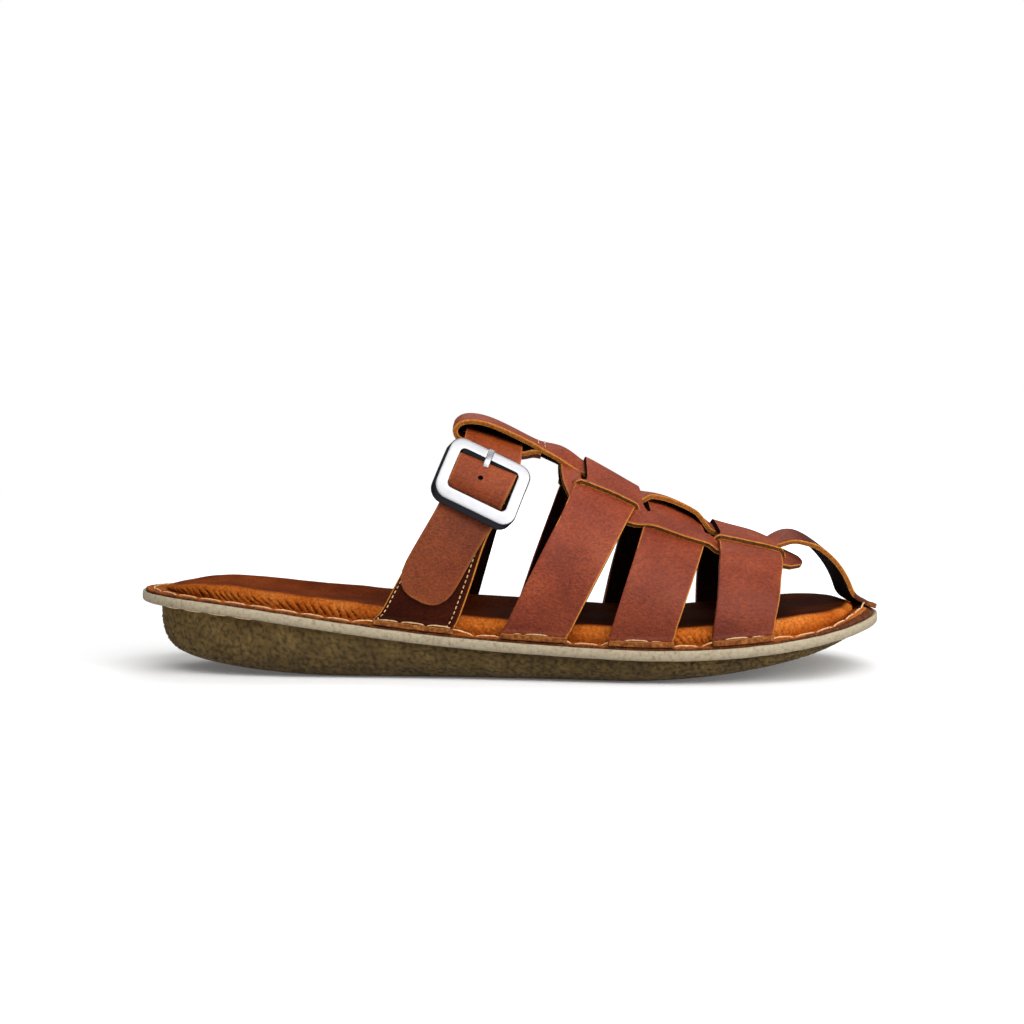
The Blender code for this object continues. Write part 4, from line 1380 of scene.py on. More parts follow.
def route_samples(points, spacing):
    """Smooth route through the points, in even steps."""
    lengths = [0.0]
    for a, b in zip(points, points[1:]):
        lengths.append(lengths[-1] + (b - a).length)
    rows = [(s, p.x, p.z) for s, p in zip(lengths, points)]
    along = natural_curve(rows, 1)
    height = natural_curve(rows, 2)
    count = round(lengths[-1] / spacing)
    samples = [lengths[-1] * i / count for i in range(count + 1)]
    return [Vector((float(along(s)), 0, float(height(s)))) for s in samples]


# The centre strap's underside, and the step where its loop turns back under the instep strap.
CENTRE_ROUTE = route_samples(centre_route(), CENTRE_STRAP_STEP)
LOOP_TURN = min(range(len(CENTRE_ROUTE)), key=lambda step: CENTRE_ROUTE[step].x)
centre_sag = soft_steps(CENTRE_STRAP_SAG)
loop_pull = soft_steps(LOOP_PULL)


def centre_place(across, step):
    """Point on the underside of the centre strap."""
    point = CENTRE_ROUTE[step]
    middle = ridge(min(max(point.x, -60.0), 130.0))[0]
    flatter = float(np.interp(point.x, CENTRE_FLATTENS, (1.0, 0.0)))
    drop = crown_drop(min(point.x, CROWN_END), across) * flatter
    if step <= LOOP_TURN:
        edge = abs(2 * across / CENTRE_STRAP_WIDTH) ** 1.4
        drop += (centre_sag(point.x) if across < 0 else loop_pull(point.x)) * edge
    back = TOE_SLANT * max(point.x - TOE_SLANT_START, 0) * max(across - TOE_SLANT_ACROSS, 0)
    return Vector((point.x - back, middle + across, point.z - drop))


def build_centre_strap():
    """Strap from the toe, woven through the saddle, to a loop round the instep strap."""
    half = CENTRE_STRAP_WIDTH / 2
    across = [half * (i - 6) / 6 for i in range(13)]
    item = lay_sheet("centre_strap", across, range(len(CENTRE_ROUTE)), centre_place,
                     lambda place, step: half - abs(place))
    leather_wall(item, LEATHER, strap_finishes(strap_face, tan_edge))
    finish_edges(item)
    for face in item.data.polygons:
        if face.center.x > TOE_FOOT_START * MM and face.material_index in (CUT, HIGHLIGHT_LINE):
            face.material_index = GRAIN
    finish_piece(item)


instep_edges = {
    LATERAL: (natural_curve(INSTEP_LATERAL, 1), natural_curve(INSTEP_LATERAL, 2)),
    MEDIAL: (natural_curve(INSTEP_MEDIAL, 1), natural_curve(INSTEP_MEDIAL, 2)),
}
quarter_edges = (natural_curve(QUARTER_EDGES, 1), natural_curve(QUARTER_EDGES, 2))
instep_lifts = soft_steps(INSTEP_LIFTS)
instep_medial_lifts = soft_steps(INSTEP_MEDIAL_LIFTS)
loop_span = soft_steps(LOOP_SPAN)
tip_rounding = soft_steps(TIP_ROUNDING)


def instep_along(share, girth):
    """Place along the shoe across the instep strap's width."""
    rear, front = instep_edges[LATERAL if girth < 90 else MEDIAL]
    height = height_share(girth)
    return float(rear(height) + (front(height) - rear(height)) * share)


@functools.lru_cache(maxsize=None)
def buckle_distance(girth):
    """Millimetres along the instep strap from the buckle's middle, counted downwards."""
    points = [form_point(instep_along(0.5, step), step) for step in np.linspace(BUCKLE_GIRTH, girth, 12)]
    length = sum((b - a).length for a, b in zip(points, points[1:]))
    return length if girth < BUCKLE_GIRTH else -length


def instep_lift(share, girth):
    """Lift of the instep strap: over the loop's return, through the buckle and over the quarter strap."""
    dip = LOOP_DIP * share * loop_span(girth)
    if girth > 90:
        return instep_medial_lifts(girth) - dip
    return instep_lifts(buckle_distance(girth)) - dip


def instep_place(share, girth):
    """Point on the underside of the instep strap."""
    narrowed = 0.5 + (share - 0.5) * tip_rounding(girth - TIP_GIRTH)
    square = STRAP_SKEW * (0.5 - narrowed) * blend(-86, -64, -girth)
    return raised_point(instep_along(narrowed, girth + square), girth + square, instep_lift(share, girth))


def buckle_axes():
    """Middle of the buckle, and its across, down and outward directions."""
    middle = form_point(instep_along(0.5, BUCKLE_GIRTH), BUCKLE_GIRTH) + Vector(BUCKLE_SHIFT)
    across = Vector(BUCKLE_ACROSS).normalized()
    down = Vector(BUCKLE_DOWN).normalized()
    return middle, across, down, down.cross(across).normalized()


BUCKLE_AXES = buckle_axes()


def buckle_point(across, down, lift):
    """Point on the bowed buckle."""
    middle, across_axis, down_axis, outward = BUCKLE_AXES
    angle = down / (BUCKLE_BOW + BUCKLE_LIFT + BUCKLE_THICKNESS / 2)
    sink = BUCKLE_BOW - (BUCKLE_BOW + lift) * math.cos(angle)
    reach = (BUCKLE_BOW + lift) * math.sin(angle)
    return middle + across_axis * across + down_axis * reach - outward * sink


def punch_hole(item, spot, direction, radius):
    """Cuts a round hole through a strap."""
    bpy.ops.object.select_all(action="DESELECT")
    turn = direction.to_track_quat("Z", "Y").to_euler()
    bpy.ops.mesh.primitive_cylinder_add(vertices=20, radius=radius * MM, depth=PUNCH_LENGTH * MM,
                                        location=spot * MM, rotation=turn)
    punch = bpy.context.object
    punch.data.materials.append(shaded_flesh_leather)
    cut = item.modifiers.new("hole", "BOOLEAN")
    cut.operation = "DIFFERENCE"
    cut.solver = "EXACT"
    cut.material_mode = "TRANSFER"
    cut.object = punch
    apply_modifiers(item)
    bpy.data.objects.remove(punch)


def build_instep_strap():
    """Strap from the medial rim over the instep, through the loop and the buckle, to its rounded tip."""
    girths = [TIP_GIRTH + past for past, width in TIP_ROUNDING[:-1]]
    for start, step, count in INSTEP_GIRTHS:
        girths += [start + step * i for i in range(count)]
    girths += [180 + stop for stop in reversed(SKIRT_STOPS)]

    def edge(share, girth):
        return min(min(share, 1 - share) * INSTEP_WIDTH, (girth - TIP_GIRTH) * DEGREE_LENGTH)

    item = lay_sheet("instep_strap_leather", even_shares(STRAP_COLUMNS), girths, instep_place, edge)
    leather_wall(item, STRAP_LEATHER, strap_finishes(instep_face, tan_edge))
    finish_edges(item)
    punch_hole(item, buckle_point(PRONG_ACROSS, HOLE_DOWN, PUNCH_LIFT), BUCKLE_AXES[3], HOLE_RADIUS)
    finish_piece(item, "instep_strap")


def quarter_place(share, girth):
    """Point on the inner face of the quarter strap."""
    height = height_share(girth)
    rear = float(quarter_edges[0](height))
    front = float(quarter_edges[1](height))
    return raised_point(rear + (front - rear) * share, girth, 0.0)


def build_quarter_strap():
    """Lateral strap from its sewn flange on the rim up to the buckle's centre bar."""
    girths = [-stop for stop in SKIRT_STOPS] + [1.2 * i for i in range(39)]
    item = lay_sheet("quarter_strap_leather", even_shares(QUARTER_COLUMNS), girths, quarter_place,
                     lambda share, girth: min(share, 1 - share) * QUARTER_WIDTH)
    leather_wall(item, STRAP_LEATHER, strap_finishes(quarter_face, tan_edge))
    finish_edges(item)
    finish_piece(item, "quarter_strap")


def tread_height(along):
    """Underside of the outsole: flat, with a rounded heel and a toe spring."""
    heel = np.clip((HEEL_FLAT_START - along) / (HALF_LENGTH + HEEL_FLAT_START), 0.0, None)
    toe = np.clip((along - TOE_FLAT_END) / TOE_RISE_LENGTH, 0.0, None)
    return HEEL_RISE * heel ** HEEL_CURVE + TOE_RISE * toe ** TOE_CURVE


def arch_lift(along, across):
    """Raised inner edge of the footbed at the arch."""
    bump = np.exp(-((along - ARCH_CENTRE) / ARCH_SPREAD) ** 2)
    return ARCH_LIFT * bump * np.clip(ARCH_MIDDLE_SHARE + across / ARCH_WIDTH, 0.0, 1.0)


def lay_rings(name, rings, tones, finishes, rough_rows=lambda along: 0):
    """Closed skin through rings of points round the shoe, drawn in to a line at both ends.

    The first rows of faces, as many as rough_rows gives at a place along the shoe, take the second finish.
    """
    spines = [(end + end[::-1]) / 2 for end in (rings[0], rings[-1])]
    rings = [spines[0], *rings, spines[1]]
    tones = [tones[0], *tones, tones[-1]]
    item = lay_sheet(name, range(len(rings[0])), range(len(rings)),
                     lambda column, row: Vector(rings[row][column]),
                     lambda column, row: tones[row][column])
    for finish in finishes:
        item.data.materials.append(finish)
    for face in item.data.polygons:
        row = face.index // (len(rings[0]) - 1)
        face.material_index = 1 if row < rough_rows(face.center.x / MM) else 0
    weld(item)
    return item


def ring(turns, inset, lift):
    """One ring round the rim: an inset, and a lift over the midsole's top face."""
    outline = inset_outline(inset, turns)
    return np.column_stack([outline, rim_height_curve(outline[:, 0]) + lift])


def table_rows(table, count):
    """Even smooth rows through a table, by its row number."""
    numbered = [(i, *row) for i, row in enumerate(table)]
    curves = [natural_curve(numbered, column) for column in range(1, len(numbered[0]))]
    steps = np.linspace(0, len(table) - 1, count)
    return [[float(curve(step)) for curve in curves] for step in steps]


def pebble_relief(spot):
    """Height of the pebbled skin, lowest in the creases between the pebbles."""
    crease = 1 - blend(0.0, CREASE_WIDTH, abs(noise.noise(spot * CREASE_SCALE + CREASE_SHIFT)))
    fine = noise.noise(spot * FINE_PEBBLE_SCALE)
    return noise.noise(spot) + FINE_PEBBLE_SHARE * fine - CREASE_SHARE * crease


def build_outsole():
    """Rubber cup with a pebbled wall, a flat tread, a rounded heel and a toe spring."""
    turns = np.linspace(0, 2, OUTSOLE_COLUMNS)
    rings = []
    crease_shades = []
    for share, extra in table_rows(OUTSOLE_WALL, OUTSOLE_ROWS):
        share = min(max(share, 0.0), 1.0)
        outline = inset_outline(lambda along: outsole_inset(along) + extra, turns)
        top = rim_height_curve(outline[:, 0]) - MIDSOLE_THICKNESS
        bottom = tread_height(outline[:, 0])
        skin = np.column_stack([outline, bottom + (top - bottom) * share])
        inward = inset_outline(lambda along: outsole_inset(along) + extra + 1.0, turns) - outline
        calm = between((0.0, 0.08), (0.9, 1.0), share)
        tones = []
        for i in range(len(turns) - 1):
            relief = pebble_relief(Vector(skin[i]) / PEBBLE)
            sunk = -PEBBLE_DEPTH * relief
            skin[i, :2] += inward[i] * sunk * calm
            # Tones for the painted shade: low in the creases between the pebbles, high on their tops.
            tones.append(blend(-1.0, 0.3, relief))
        skin[-1] = skin[0]
        rings.append(skin)
        crease_shades.append(tones + [tones[0]])
    item = lay_rings("pebbled_outsole", rings, crease_shades, (outsole_rubber,))
    smooth(item, 75)
    finish_piece(item, "outsole")


def build_midsole():
    """Flat, curved rim board with softly rounded edges."""
    turns = np.linspace(0, 2, MIDSOLE_COLUMNS)
    rings = []
    for inset, height in MIDSOLE_EDGE:
        skin = ring(turns, inset, height - MIDSOLE_THICKNESS)
        for i in range(len(turns) - 1):
            skin[i, 2] += MIDSOLE_WAVE * noise.noise(Vector(skin[i]) / MIDSOLE_WAVE_LENGTH)
        skin[-1] = skin[0]
        rings.append(skin)
    heights = [[height] * len(turns) for inset, height in MIDSOLE_EDGE]
    item = lay_rings("cut_midsole", rings, heights, (midsole_rubber,))
    smooth(item)
    finish_piece(item, "midsole")


footbed_end_inset = soft_steps(FOOTBED_END_INSETS)
footbed_taper = soft_steps(FOOTBED_TAPER)


def toe_rise(along, inset):
    """How far the stitched flange turns up towards the toe strap."""
    return TOE_TURN_UP * blend(*TOE_TURN_SPAN, along) * max(inset - TOE_TURN_INSET, 0.0)


def flange_skin(turns, inset, lift):
    """One ring of the footbed's stitched flange, ragged at its edge and uneven on top."""
    skin = ring(turns, inset, lift)
    inward = inset_outline(inset + 1.0, turns) - skin[:, :2]
    for i in range(len(turns) - 1):
        skin[i, 2] += toe_rise(skin[i, 0], inset)
        ragged = noise.noise(Vector(skin[i]) / FLANGE_FRAY_LENGTH) * blend(-2.6, -0.9, -inset)
        skin[i, :2] += inward[i] * FLANGE_FRAY * ragged
        wave = FLANGE_WAVE * noise.noise(Vector(skin[i]) / FLANGE_WAVE_LENGTH)
        skin[i, 2] += wave * blend(FIT_GAP, FLANGE_TOP - 0.4, lift)
    skin[-1] = skin[0]
    return skin


def gather_depth(along, run, high):
    """Depth of the cover's gathers, a run of millimetres round the shoe.

    High is 0 at the flange and 1 on the tread.
    """
    pull = GATHER_BASE
    for start, end, more in GATHER_STRETCHES:
        pull += more * between(start, end, along)
    wander = noise.noise(Vector((run / GATHER_WANDER_LENGTH, high * 2, 0)))
    spread = run / GATHER_PITCH + GATHER_LEAN * high + GATHER_WANDER * wander
    fold = abs(math.sin(math.pi * spread))
    strength = GATHER_STRENGTH + GATHER_UNEVEN * noise.noise(Vector((run / GATHER_UNEVEN_LENGTH, 7.0, high)))
    depth = GATHER_DEPTH * pull * max(strength, 0.0) * (1 - fold) ** 3
    return depth * between((0.0, 0.06), (0.2, 0.44), high)


def pad_taper(along, across):
    """Share of the padding's height, which is a little more on the inner side of the toe."""
    return footbed_taper(float(along)) + 0.2 * blend(98, 122, along) * blend(-6, 20, across)


def padded_skin(turns, runs, high, extra, lift, arch):
    """One ring of the padded side or the tread, and its tones: below 0 in a gather, where they paint shade, 1
    on the tread.
    """
    def inset(along):
        return np.array([FOOTBED_INSET + footbed_end_inset(float(x)) + extra for x in along])

    outline = inset_outline(inset, turns)
    inward = inset_outline(lambda along: inset(along) + 1.0, turns) - outline
    taper = np.array([pad_taper(x, y) for x, y in outline])
    height = rim_height_curve(outline[:, 0]) + FLANGE_TOP + lift * taper
    height += arch * arch_lift(outline[:, 0], outline[:, 1])
    skin = np.column_stack([outline, height])
    tones = []
    for i in range(len(turns) - 1):
        depth = gather_depth(outline[i, 0], runs[i], high)
        soft = PAD_WAVE * noise.noise(Vector(skin[i]) / PAD_WAVE_LENGTH) * blend(0, 0.2, high)
        skin[i, :2] += inward[i] * depth
        skin[i, 2] += soft - GATHER_SINK * depth
        tones.append(blend(0.5, 0.72, high) - depth)
    skin[-1] = skin[0]
    return skin, tones + [tones[0]]


def build_footbed():
    """Padded footbed, gathered at the heel, whose leather cover turns out as a flange on the rim."""
    turns = np.linspace(0, 2, FOOTBED_COLUMNS)
    rings = [flange_skin(turns, inset, lift) for inset, lift in FLANGE_RINGS]
    tones = [[0.0] * len(turns)] * len(rings)
    path = inset_outline(FOOTBED_INSET, turns)
    runs = np.concatenate([[0], np.cumsum(np.linalg.norm(np.diff(path, axis=0), axis=1))])
    rows = table_rows(FOOTBED_RINGS, FOOTBED_ROWS)
    for number, row in enumerate(rows):
        skin, tone = padded_skin(turns, runs, number / (len(rows) - 1), *row)
        rings.append(skin)
        tones.append(tone)
    last = rings[-1]
    spine = (last + last[::-1]) / 2
    for share in (0.15, 0.32, 0.5, 0.68, 0.85):
        rings.append(last + (spine - last) * share)
        tones.append([1.0] * len(turns))
    item = lay_rings("padded_footbed", rings, tones, (footbed_leather, flange_edge),
                     lambda along: len(FLANGE_RINGS) - 1 if along > DARK_FLANGE_START else DARK_EDGE_ROWS)
    smooth(item, 60)
    finish_piece(item, "footbed")


def rounded_rectangle(width, height, radius, corner_steps, side_steps):
    """Closed rounded rectangle as across and down values, its first point repeated at the end."""
    points = []
    middles = (
        (width / 2 - radius, -height / 2 + radius, -90),
        (width / 2 - radius, height / 2 - radius, 0),
        (-width / 2 + radius, height / 2 - radius, 90),
        (-width / 2 + radius, -height / 2 + radius, 180),
    )
    for i, (x, y, start) in enumerate(middles):
        for step in range(corner_steps + 1):
            angle = math.radians(start + 90 * step / corner_steps)
            points.append((x + radius * math.cos(angle), y + radius * math.sin(angle)))
        end_x, end_y = points[-1]
        next_x, next_y, next_start = middles[(i + 1) % 4]
        angle = math.radians(next_start)
        goal_x = next_x + radius * math.cos(angle)
        goal_y = next_y + radius * math.sin(angle)
        for step in range(1, side_steps):
            share = step / side_steps
            points.append((end_x + (goal_x - end_x) * share, end_y + (goal_y - end_y) * share))
    return points + points[:1]


def build_buckle_frame():
    """Bowed frame of flat polished bar, with a round centre bar that the strap hides."""
    outer = rounded_rectangle(BUCKLE_WIDTH, BUCKLE_HEIGHT, BUCKLE_CORNER, 10, 10)
    inner = rounded_rectangle(BUCKLE_WIDTH - 2 * BUCKLE_BAR, BUCKLE_HEIGHT - 2 * BUCKLE_BAR,
                              BUCKLE_CORNER - BUCKLE_BAR + BUCKLE_INNER_ROUND, 10, 10)
    profile = rounded_rectangle(BUCKLE_BAR, BUCKLE_THICKNESS, BUCKLE_EDGE_ROUND, 4, 4)

    def place(column, row):
        offset, rise = profile[row]
        share = 0.5 - offset / BUCKLE_BAR
        x = outer[column][0] + (inner[column][0] - outer[column][0]) * share
        y = outer[column][1] + (inner[column][1] - BUCKLE_WINDOW_SHIFT - outer[column][1]) * share
        draft = blend(-0.9, 0.9, -rise)
        return buckle_point(x - BUCKLE_DRAFT[0] * draft, y + BUCKLE_DRAFT[1] * draft,
                            BUCKLE_LIFT + BUCKLE_THICKNESS / 2 + rise)

    item = lay_sheet("polished_frame", range(len(outer)), range(len(profile)), place)
    item.data.materials.append(steel_face)
    item.data.materials.append(shaded_steel_side)
    for face in item.data.polygons:
        row = face.index // (len(outer) - 1)
        # The front faces take the bright steel; the sides and back take the copy painted dark as shade.
        face.material_index = 0 if profile[row][1] + profile[row + 1][1] > 2 * BUCKLE_FACE_RISE else 1
    weld(item)
    reach = BUCKLE_WIDTH / 2 - BUCKLE_BAR * 0.55
    ends = [buckle_point(reach * end, 0, CENTRE_BAR_LIFT) for end in (-1, 1)]
    bar = lay_rod("centre_bar", ends, CENTRE_BAR_RADIUS, CENTRE_BAR_RADIUS)
    # The centre bar takes the steel painted dark as shade.
    bar.data.materials.append(shaded_steel_side)
    activate(item)
    bar.select_set(True)
    bpy.ops.object.join()
    smooth(item, 50)
    finish_piece(item, "buckle_frame")


def lay_rod(name, points, half_width, half_height, square=1.0):
    """Rod with rounded ends along a line of points. A square value under 1 makes its oval section squarer."""
    route = [(points[0], 0.0), (points[0], ROD_END_SIZE)]
    route += [(point, 1.0) for point in points]
    route += [(points[-1], ROD_END_SIZE), (points[-1], 0.0)]
    aheads = []
    for i in range(len(route)):
        ahead = route[min(i + 3, len(route) - 1)][0] - route[max(i - 3, 0)][0]
        aheads.append(ahead.normalized())
    outward = BUCKLE_AXES[3]

    def place(column, row):
        point, size = route[row]
        right = aheads[row].cross(outward).normalized()
        up = right.cross(aheads[row]).normalized()
        angle = math.radians(360 / ROD_SIDES * column)
        wide = math.copysign(abs(math.cos(angle)) ** square, math.cos(angle)) * half_width
        tall = math.copysign(abs(math.sin(angle)) ** square, math.sin(angle)) * half_height
        nose = aheads[row] * ROD_NOSE * (1 - size) * (-1 if row < len(route) / 2 else 1)
        return point + nose + (right * wide + up * tall) * size

    item = lay_sheet(name, range(ROD_SIDES + 1), range(len(route)), place)
    weld(item, 0.001)
    return item


def build_prong():
    """Flat prong from the centre bar up through the strap and over the frame's upper bar."""
    top = BUCKLE_LIFT + BUCKLE_THICKNESS + 0.25
    upper_bar = -BUCKLE_HEIGHT / 2 + BUCKLE_BAR
    rows = (
        (-2.4, CENTRE_BAR_LIFT),
        (-4.4, CENTRE_BAR_LIFT + 1.2),
        (upper_bar + 1.8, top + 0.3),
        (upper_bar, top + 0.1),
        (-BUCKLE_HEIGHT / 2 + 0.3, top),
    )
    points = [buckle_point(PRONG_ACROSS, down, lift) for down, lift in rows]
    item = lay_rod("polished_prong", points, PRONG_HALF_WIDTH, PRONG_HALF_HEIGHT, PRONG_SQUARE)
    item.data.materials.append(steel_face)
    smooth(item, 50)
    finish_piece(item, "buckle_prong")


def stitch_model(name, length, width):
    """One thread stitch, lying along X with its ends bent down into the leather."""
    bpy.ops.object.select_all(action="DESELECT")
    bpy.ops.mesh.primitive_uv_sphere_add(segments=10, ring_count=14, radius=1, rotation=(0, math.pi / 2, 0))
    bpy.ops.object.transform_apply(location=True, rotation=True, scale=True)
    item = bpy.context.object
    item.name = name
    for vert in item.data.vertices:
        x, y, z = vert.co
        twist = 1 + THREAD_TWIST * math.sin(2 * math.atan2(z, y) + THREAD_TURNS * x)
        waist = twist * width / 2 * (1 - x ** 4) ** 0.25 / max(math.sqrt(y * y + z * z), 1e-6)
        if abs(x) > 0.999:
            waist = 0
        height = z * waist + THREAD_RISE * width - THREAD_DIVE * width * x ** 4
        vert.co = Vector((x * length / 2, y * waist, height)) * MM
    return item


def sew(name, model, spots):
    """Copies a stitch to each pair of ends with its outward direction, as one joined piece."""
    length = (model.data.vertices[0].co - model.data.vertices[-1].co).length
    copies = []
    for start, end, outward in spots:
        ahead = (end - start).normalized()
        right = outward.cross(ahead).normalized()
        up = ahead.cross(right)
        middle = (start + end) / 2 * MM
        stretch = (end - start).length * MM / length
        turn = Matrix((ahead * stretch, right, up)).transposed().to_4x4()
        mesh = model.data.copy()
        mesh.transform(Matrix.Translation(middle) @ turn)
        item = bpy.data.objects.new(name, mesh)
        bpy.context.scene.collection.objects.link(item)
        copies.append(item)
    activate(copies[0])
    for item in copies:
        item.select_set(True)
    bpy.ops.object.join()
    item = bpy.context.object
    item.data.materials.append(thread)
    smooth(item, 60)
    finish_piece(item)


# Rear and front edge of each strap's foot on the rim.
STRAP_FEET = {LATERAL: [QUARTER_EDGES[0][1:]], MEDIAL: [INSTEP_MEDIAL[0][1:]]}
for leg in LEGS:
    STRAP_FEET[leg.side].append((leg.foot_rear, leg.foot_front))


def strap_cover(along, across, side):
    """Whether a strap's flange lies on the rim here, softened at its edges."""
    soft = STRAP_SEAM_SOFT
    feet = [between((rear - soft, rear + soft), (front - soft, front + soft), along)
            for rear, front in STRAP_FEET[side]]
    toe = blend(134, 136, along) * blend(-10.4, -8.8, -abs(across - TOE_FOOT_ACROSS))
    return max(*feet, toe)


def path_spots(points, outwards, pitch, length):
    """Even stitches along a line of points."""
    lengths = np.concatenate([[0], np.cumsum([(b - a).length for a, b in zip(points, points[1:])])])
    count = int(lengths[-1] / pitch)
    step = lengths[-1] / count

    def at(distance):
        i = int(np.clip(np.searchsorted(lengths, distance) - 1, 0, len(points) - 2))
        share = (distance - lengths[i]) / (lengths[i + 1] - lengths[i])
        return points[i].lerp(points[i + 1], share), outwards[i]

    spots = []
    for i in range(count):
        start, outward = at(i * step + (step - length) / 2)
        end, _ = at(i * step + (step + length) / 2)
        spots.append((start, end, outward))
    return spots


def rim_seam_point(turn, near, far):
    """Place of the rim's thread, which is higher and further out on the foot of a strap."""
    over = strap_cover(near[0], near[1], LATERAL if turn <= 1 else MEDIAL)
    toe = blend(*TOE_TURN_SPAN, near[0])
    along, across = near + (far - near) * over * (1 - 0.6 * toe)
    spot = Vector((along / RIM_STITCH_WANDER_LENGTH, across / RIM_STITCH_WANDER_LENGTH, 3.0))
    wander = RIM_STITCH_WANDER * noise.noise(spot)
    height = rim_height(along) + FIT_GAP + COVER_THICKNESS + (FIT_GAP + LEATHER) * over + RIM_THREAD * 0.3
    # At the toe the flange and the strap's foot turn up, and the thread climbs with them.
    turned_up = toe_rise(along, RIM_STITCH_INSET + RIM_STITCH_TOE_INSET)
    height += turned_up * (1 - 0.7 * over) + 0.85 * toe * over
    return Vector((along, across + wander, height))


def build_rim_seam(stitch):
    """Long stitches round the rim, through the flange and the feet of the straps."""
    turns = np.linspace(0, 2, 1201)

    def inset(along):
        return RIM_STITCH_INSET + np.array([RIM_STITCH_TOE_INSET * blend(*TOE_TURN_SPAN, x) for x in along])

    inner = inset_outline(inset, turns)
    outer = inset_outline(STRAP_SEAM_INSET, turns)
    points = [rim_seam_point(turn, near, far) for turn, near, far in zip(turns, inner, outer)]
    upward = [Vector((0, 0, 1))] * len(points)
    sew("rim_seam", stitch, path_spots(points, upward, RIM_STITCH_PITCH, RIM_STITCH_LENGTH))


def build_heel_seam(stitch):
    """Seam under the midsole's edge at the heel."""
    outline = inset_outline(HEEL_SEAM_INSET, np.linspace(*HEEL_SEAM_TURNS, 200))
    points = [Vector((x, y, rim_height(x) - MIDSOLE_THICKNESS - SEAM_LIFT)) for x, y in outline]
    downward = [Vector((0, 0, -1))] * len(points)
    sew("heel_seam", stitch, path_spots(points, downward, RIM_STITCH_PITCH, RIM_STITCH_LENGTH))


def build_quarter_seams(stitch):
    """Seams along the two edges of the quarter strap."""
    spots = []
    girths = [-9 + 0.5 * i for i in range(106)]
    outwards = [form_normal(-20, girth) for girth in girths]
    for share in (REAR_SEAM_INSET / QUARTER_WIDTH, 1 - FRONT_SEAM_INSET / QUARTER_WIDTH):
        points = [quarter_place(share, girth) + outward * (STRAP_LEATHER + SEAM_LIFT)
                  for girth, outward in zip(girths, outwards)]
        spots += path_spots(points, outwards, STRAP_STITCH_PITCH, STRAP_STITCH_LENGTH)
    sew("quarter_seams", stitch, spots)


def build_loop_seam(stitch):
    """Two rows of stitches across the centre strap that close its loop."""
    spots = []
    upper_layer = range(len(CENTRE_ROUTE) // 2, len(CENTRE_ROUTE) - 30)
    for along in LOOP_SEAMS:
        step = min(upper_layer, key=lambda i: abs(CENTRE_ROUTE[i].x - along))
        ahead = (CENTRE_ROUTE[step - 1] - CENTRE_ROUTE[step + 1]).normalized()
        outward = Vector((-ahead.z, 0, ahead.x))
        points = [centre_place(-8.6 + 0.5 * i, step) + outward * (LEATHER + SEAM_LIFT) for i in range(35)]
        spots += path_spots(points, [outward] * len(points), LOOP_STITCH_PITCH, LOOP_STITCH_LENGTH)
    sew("loop_seam", stitch, spots)


def build_sewing():
    """All four seams, from two models of a stitch."""
    rim_stitch = stitch_model("rim_stitch", RIM_STITCH_LENGTH, RIM_THREAD)
    build_rim_seam(rim_stitch)
    build_heel_seam(rim_stitch)
    strap_stitch = stitch_model("strap_stitch", STRAP_STITCH_LENGTH, STRAP_THREAD)
    build_quarter_seams(strap_stitch)
    build_loop_seam(strap_stitch)
    for model in (rim_stitch, strap_stitch):
        bpy.data.objects.remove(model)


for leg in LEGS:
    build_leg(leg)
build_saddle()
build_centre_strap()
build_instep_strap()
build_quarter_strap()
build_outsole()
build_midsole()
build_footbed()
build_buckle_frame()
build_prong()
build_sewing()


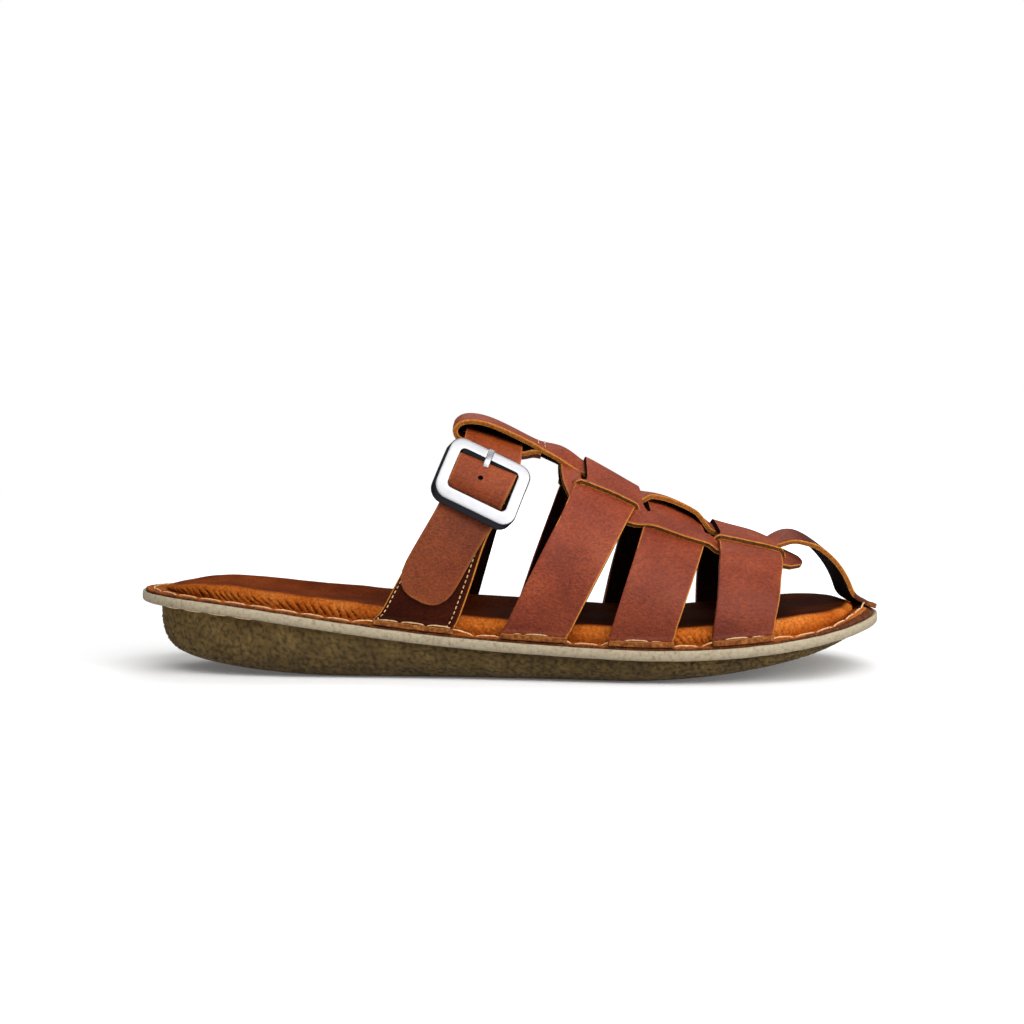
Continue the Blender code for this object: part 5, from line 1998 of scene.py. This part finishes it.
def build_stage():
    """Flat pale floor that glows more with the distance, so that it fades into the white background."""
    bpy.ops.object.select_all(action="DESELECT")
    bpy.ops.mesh.primitive_plane_add(size=6, location=(0, 0, -0.0002))
    floor = bpy.context.object
    floor.name = "pale_floor"
    material, shader = new_material("pale_paper_floor", 0.9, Base_Color=linear("#F6F6F6"),
                                    Emission_Color=(1, 1, 1, 1))
    place = add(material, "TexCoord", "Object")
    away = add(material, "VectorMath", "Value", {0: place}, operation="LENGTH")
    # Even next to the shoe the floor glows a little, painted light that lightens the shadow under it.
    lit = add(material, "MapRange", "Result",
              {"Value": away, "From Min": 0.22, "From Max": 0.8, "To Min": 0.1})
    feed(material, shader, Emission_Strength=lit)
    floor.data.materials.append(material)


build_stage()


def aim(item, spot, goal):
    """Places an object and points it at a goal."""
    item.location = spot
    item.rotation_euler = (Vector(goal) - Vector(spot)).to_track_quat("-Z", "Y").to_euler()


def add_light(name, spot, goal, size, energy):
    """Soft square light."""
    data = bpy.data.lights.new(name, "AREA")
    data.size = size
    data.energy = energy
    item = bpy.data.objects.new(name, data)
    bpy.context.scene.collection.objects.link(item)
    aim(item, spot, goal)


add_light("softbox", (0.35, -0.85, 1.0), (0, 0, 0.03), 1.4, 22)
add_light("toe_side", (1.3, -0.65, 0.4), (0.05, 0, 0.04), 0.6, 6)
add_light("floor_wash", (0.0, 0.9, 1.4), (0, 0.3, 0), 1.2, 8)

world = bpy.data.worlds.new("white_studio")
bpy.context.scene.world = world
world.use_nodes = True
sky = world.node_tree.nodes["Background"]
sky.inputs["Color"].default_value = (1, 1, 1, 1)
seen = add(world, "LightPath", "Is Camera Ray")
level = add(world, "MapRange", "Result", {"Value": seen, "To Min": 0.24, "To Max": 1.0})
world.node_tree.links.new(level, sky.inputs["Strength"])
bpy.context.scene.view_settings.view_transform = "Standard"

# Camera: a 50.8 mm lens at 560 mm from the shoe's middle and 80 mm over the floor, tipped 2.06 degrees down.
camera_data = bpy.data.cameras.new("camera")
camera_data.lens = 50.8
camera_data.sensor_width = 36.0
camera = bpy.data.objects.new("camera", camera_data)
bpy.context.scene.collection.objects.link(camera)
camera.location = (0.0, -0.560, 0.080)
camera.rotation_euler = (math.radians(90 - 2.06), 0, 0)
bpy.context.scene.camera = camera
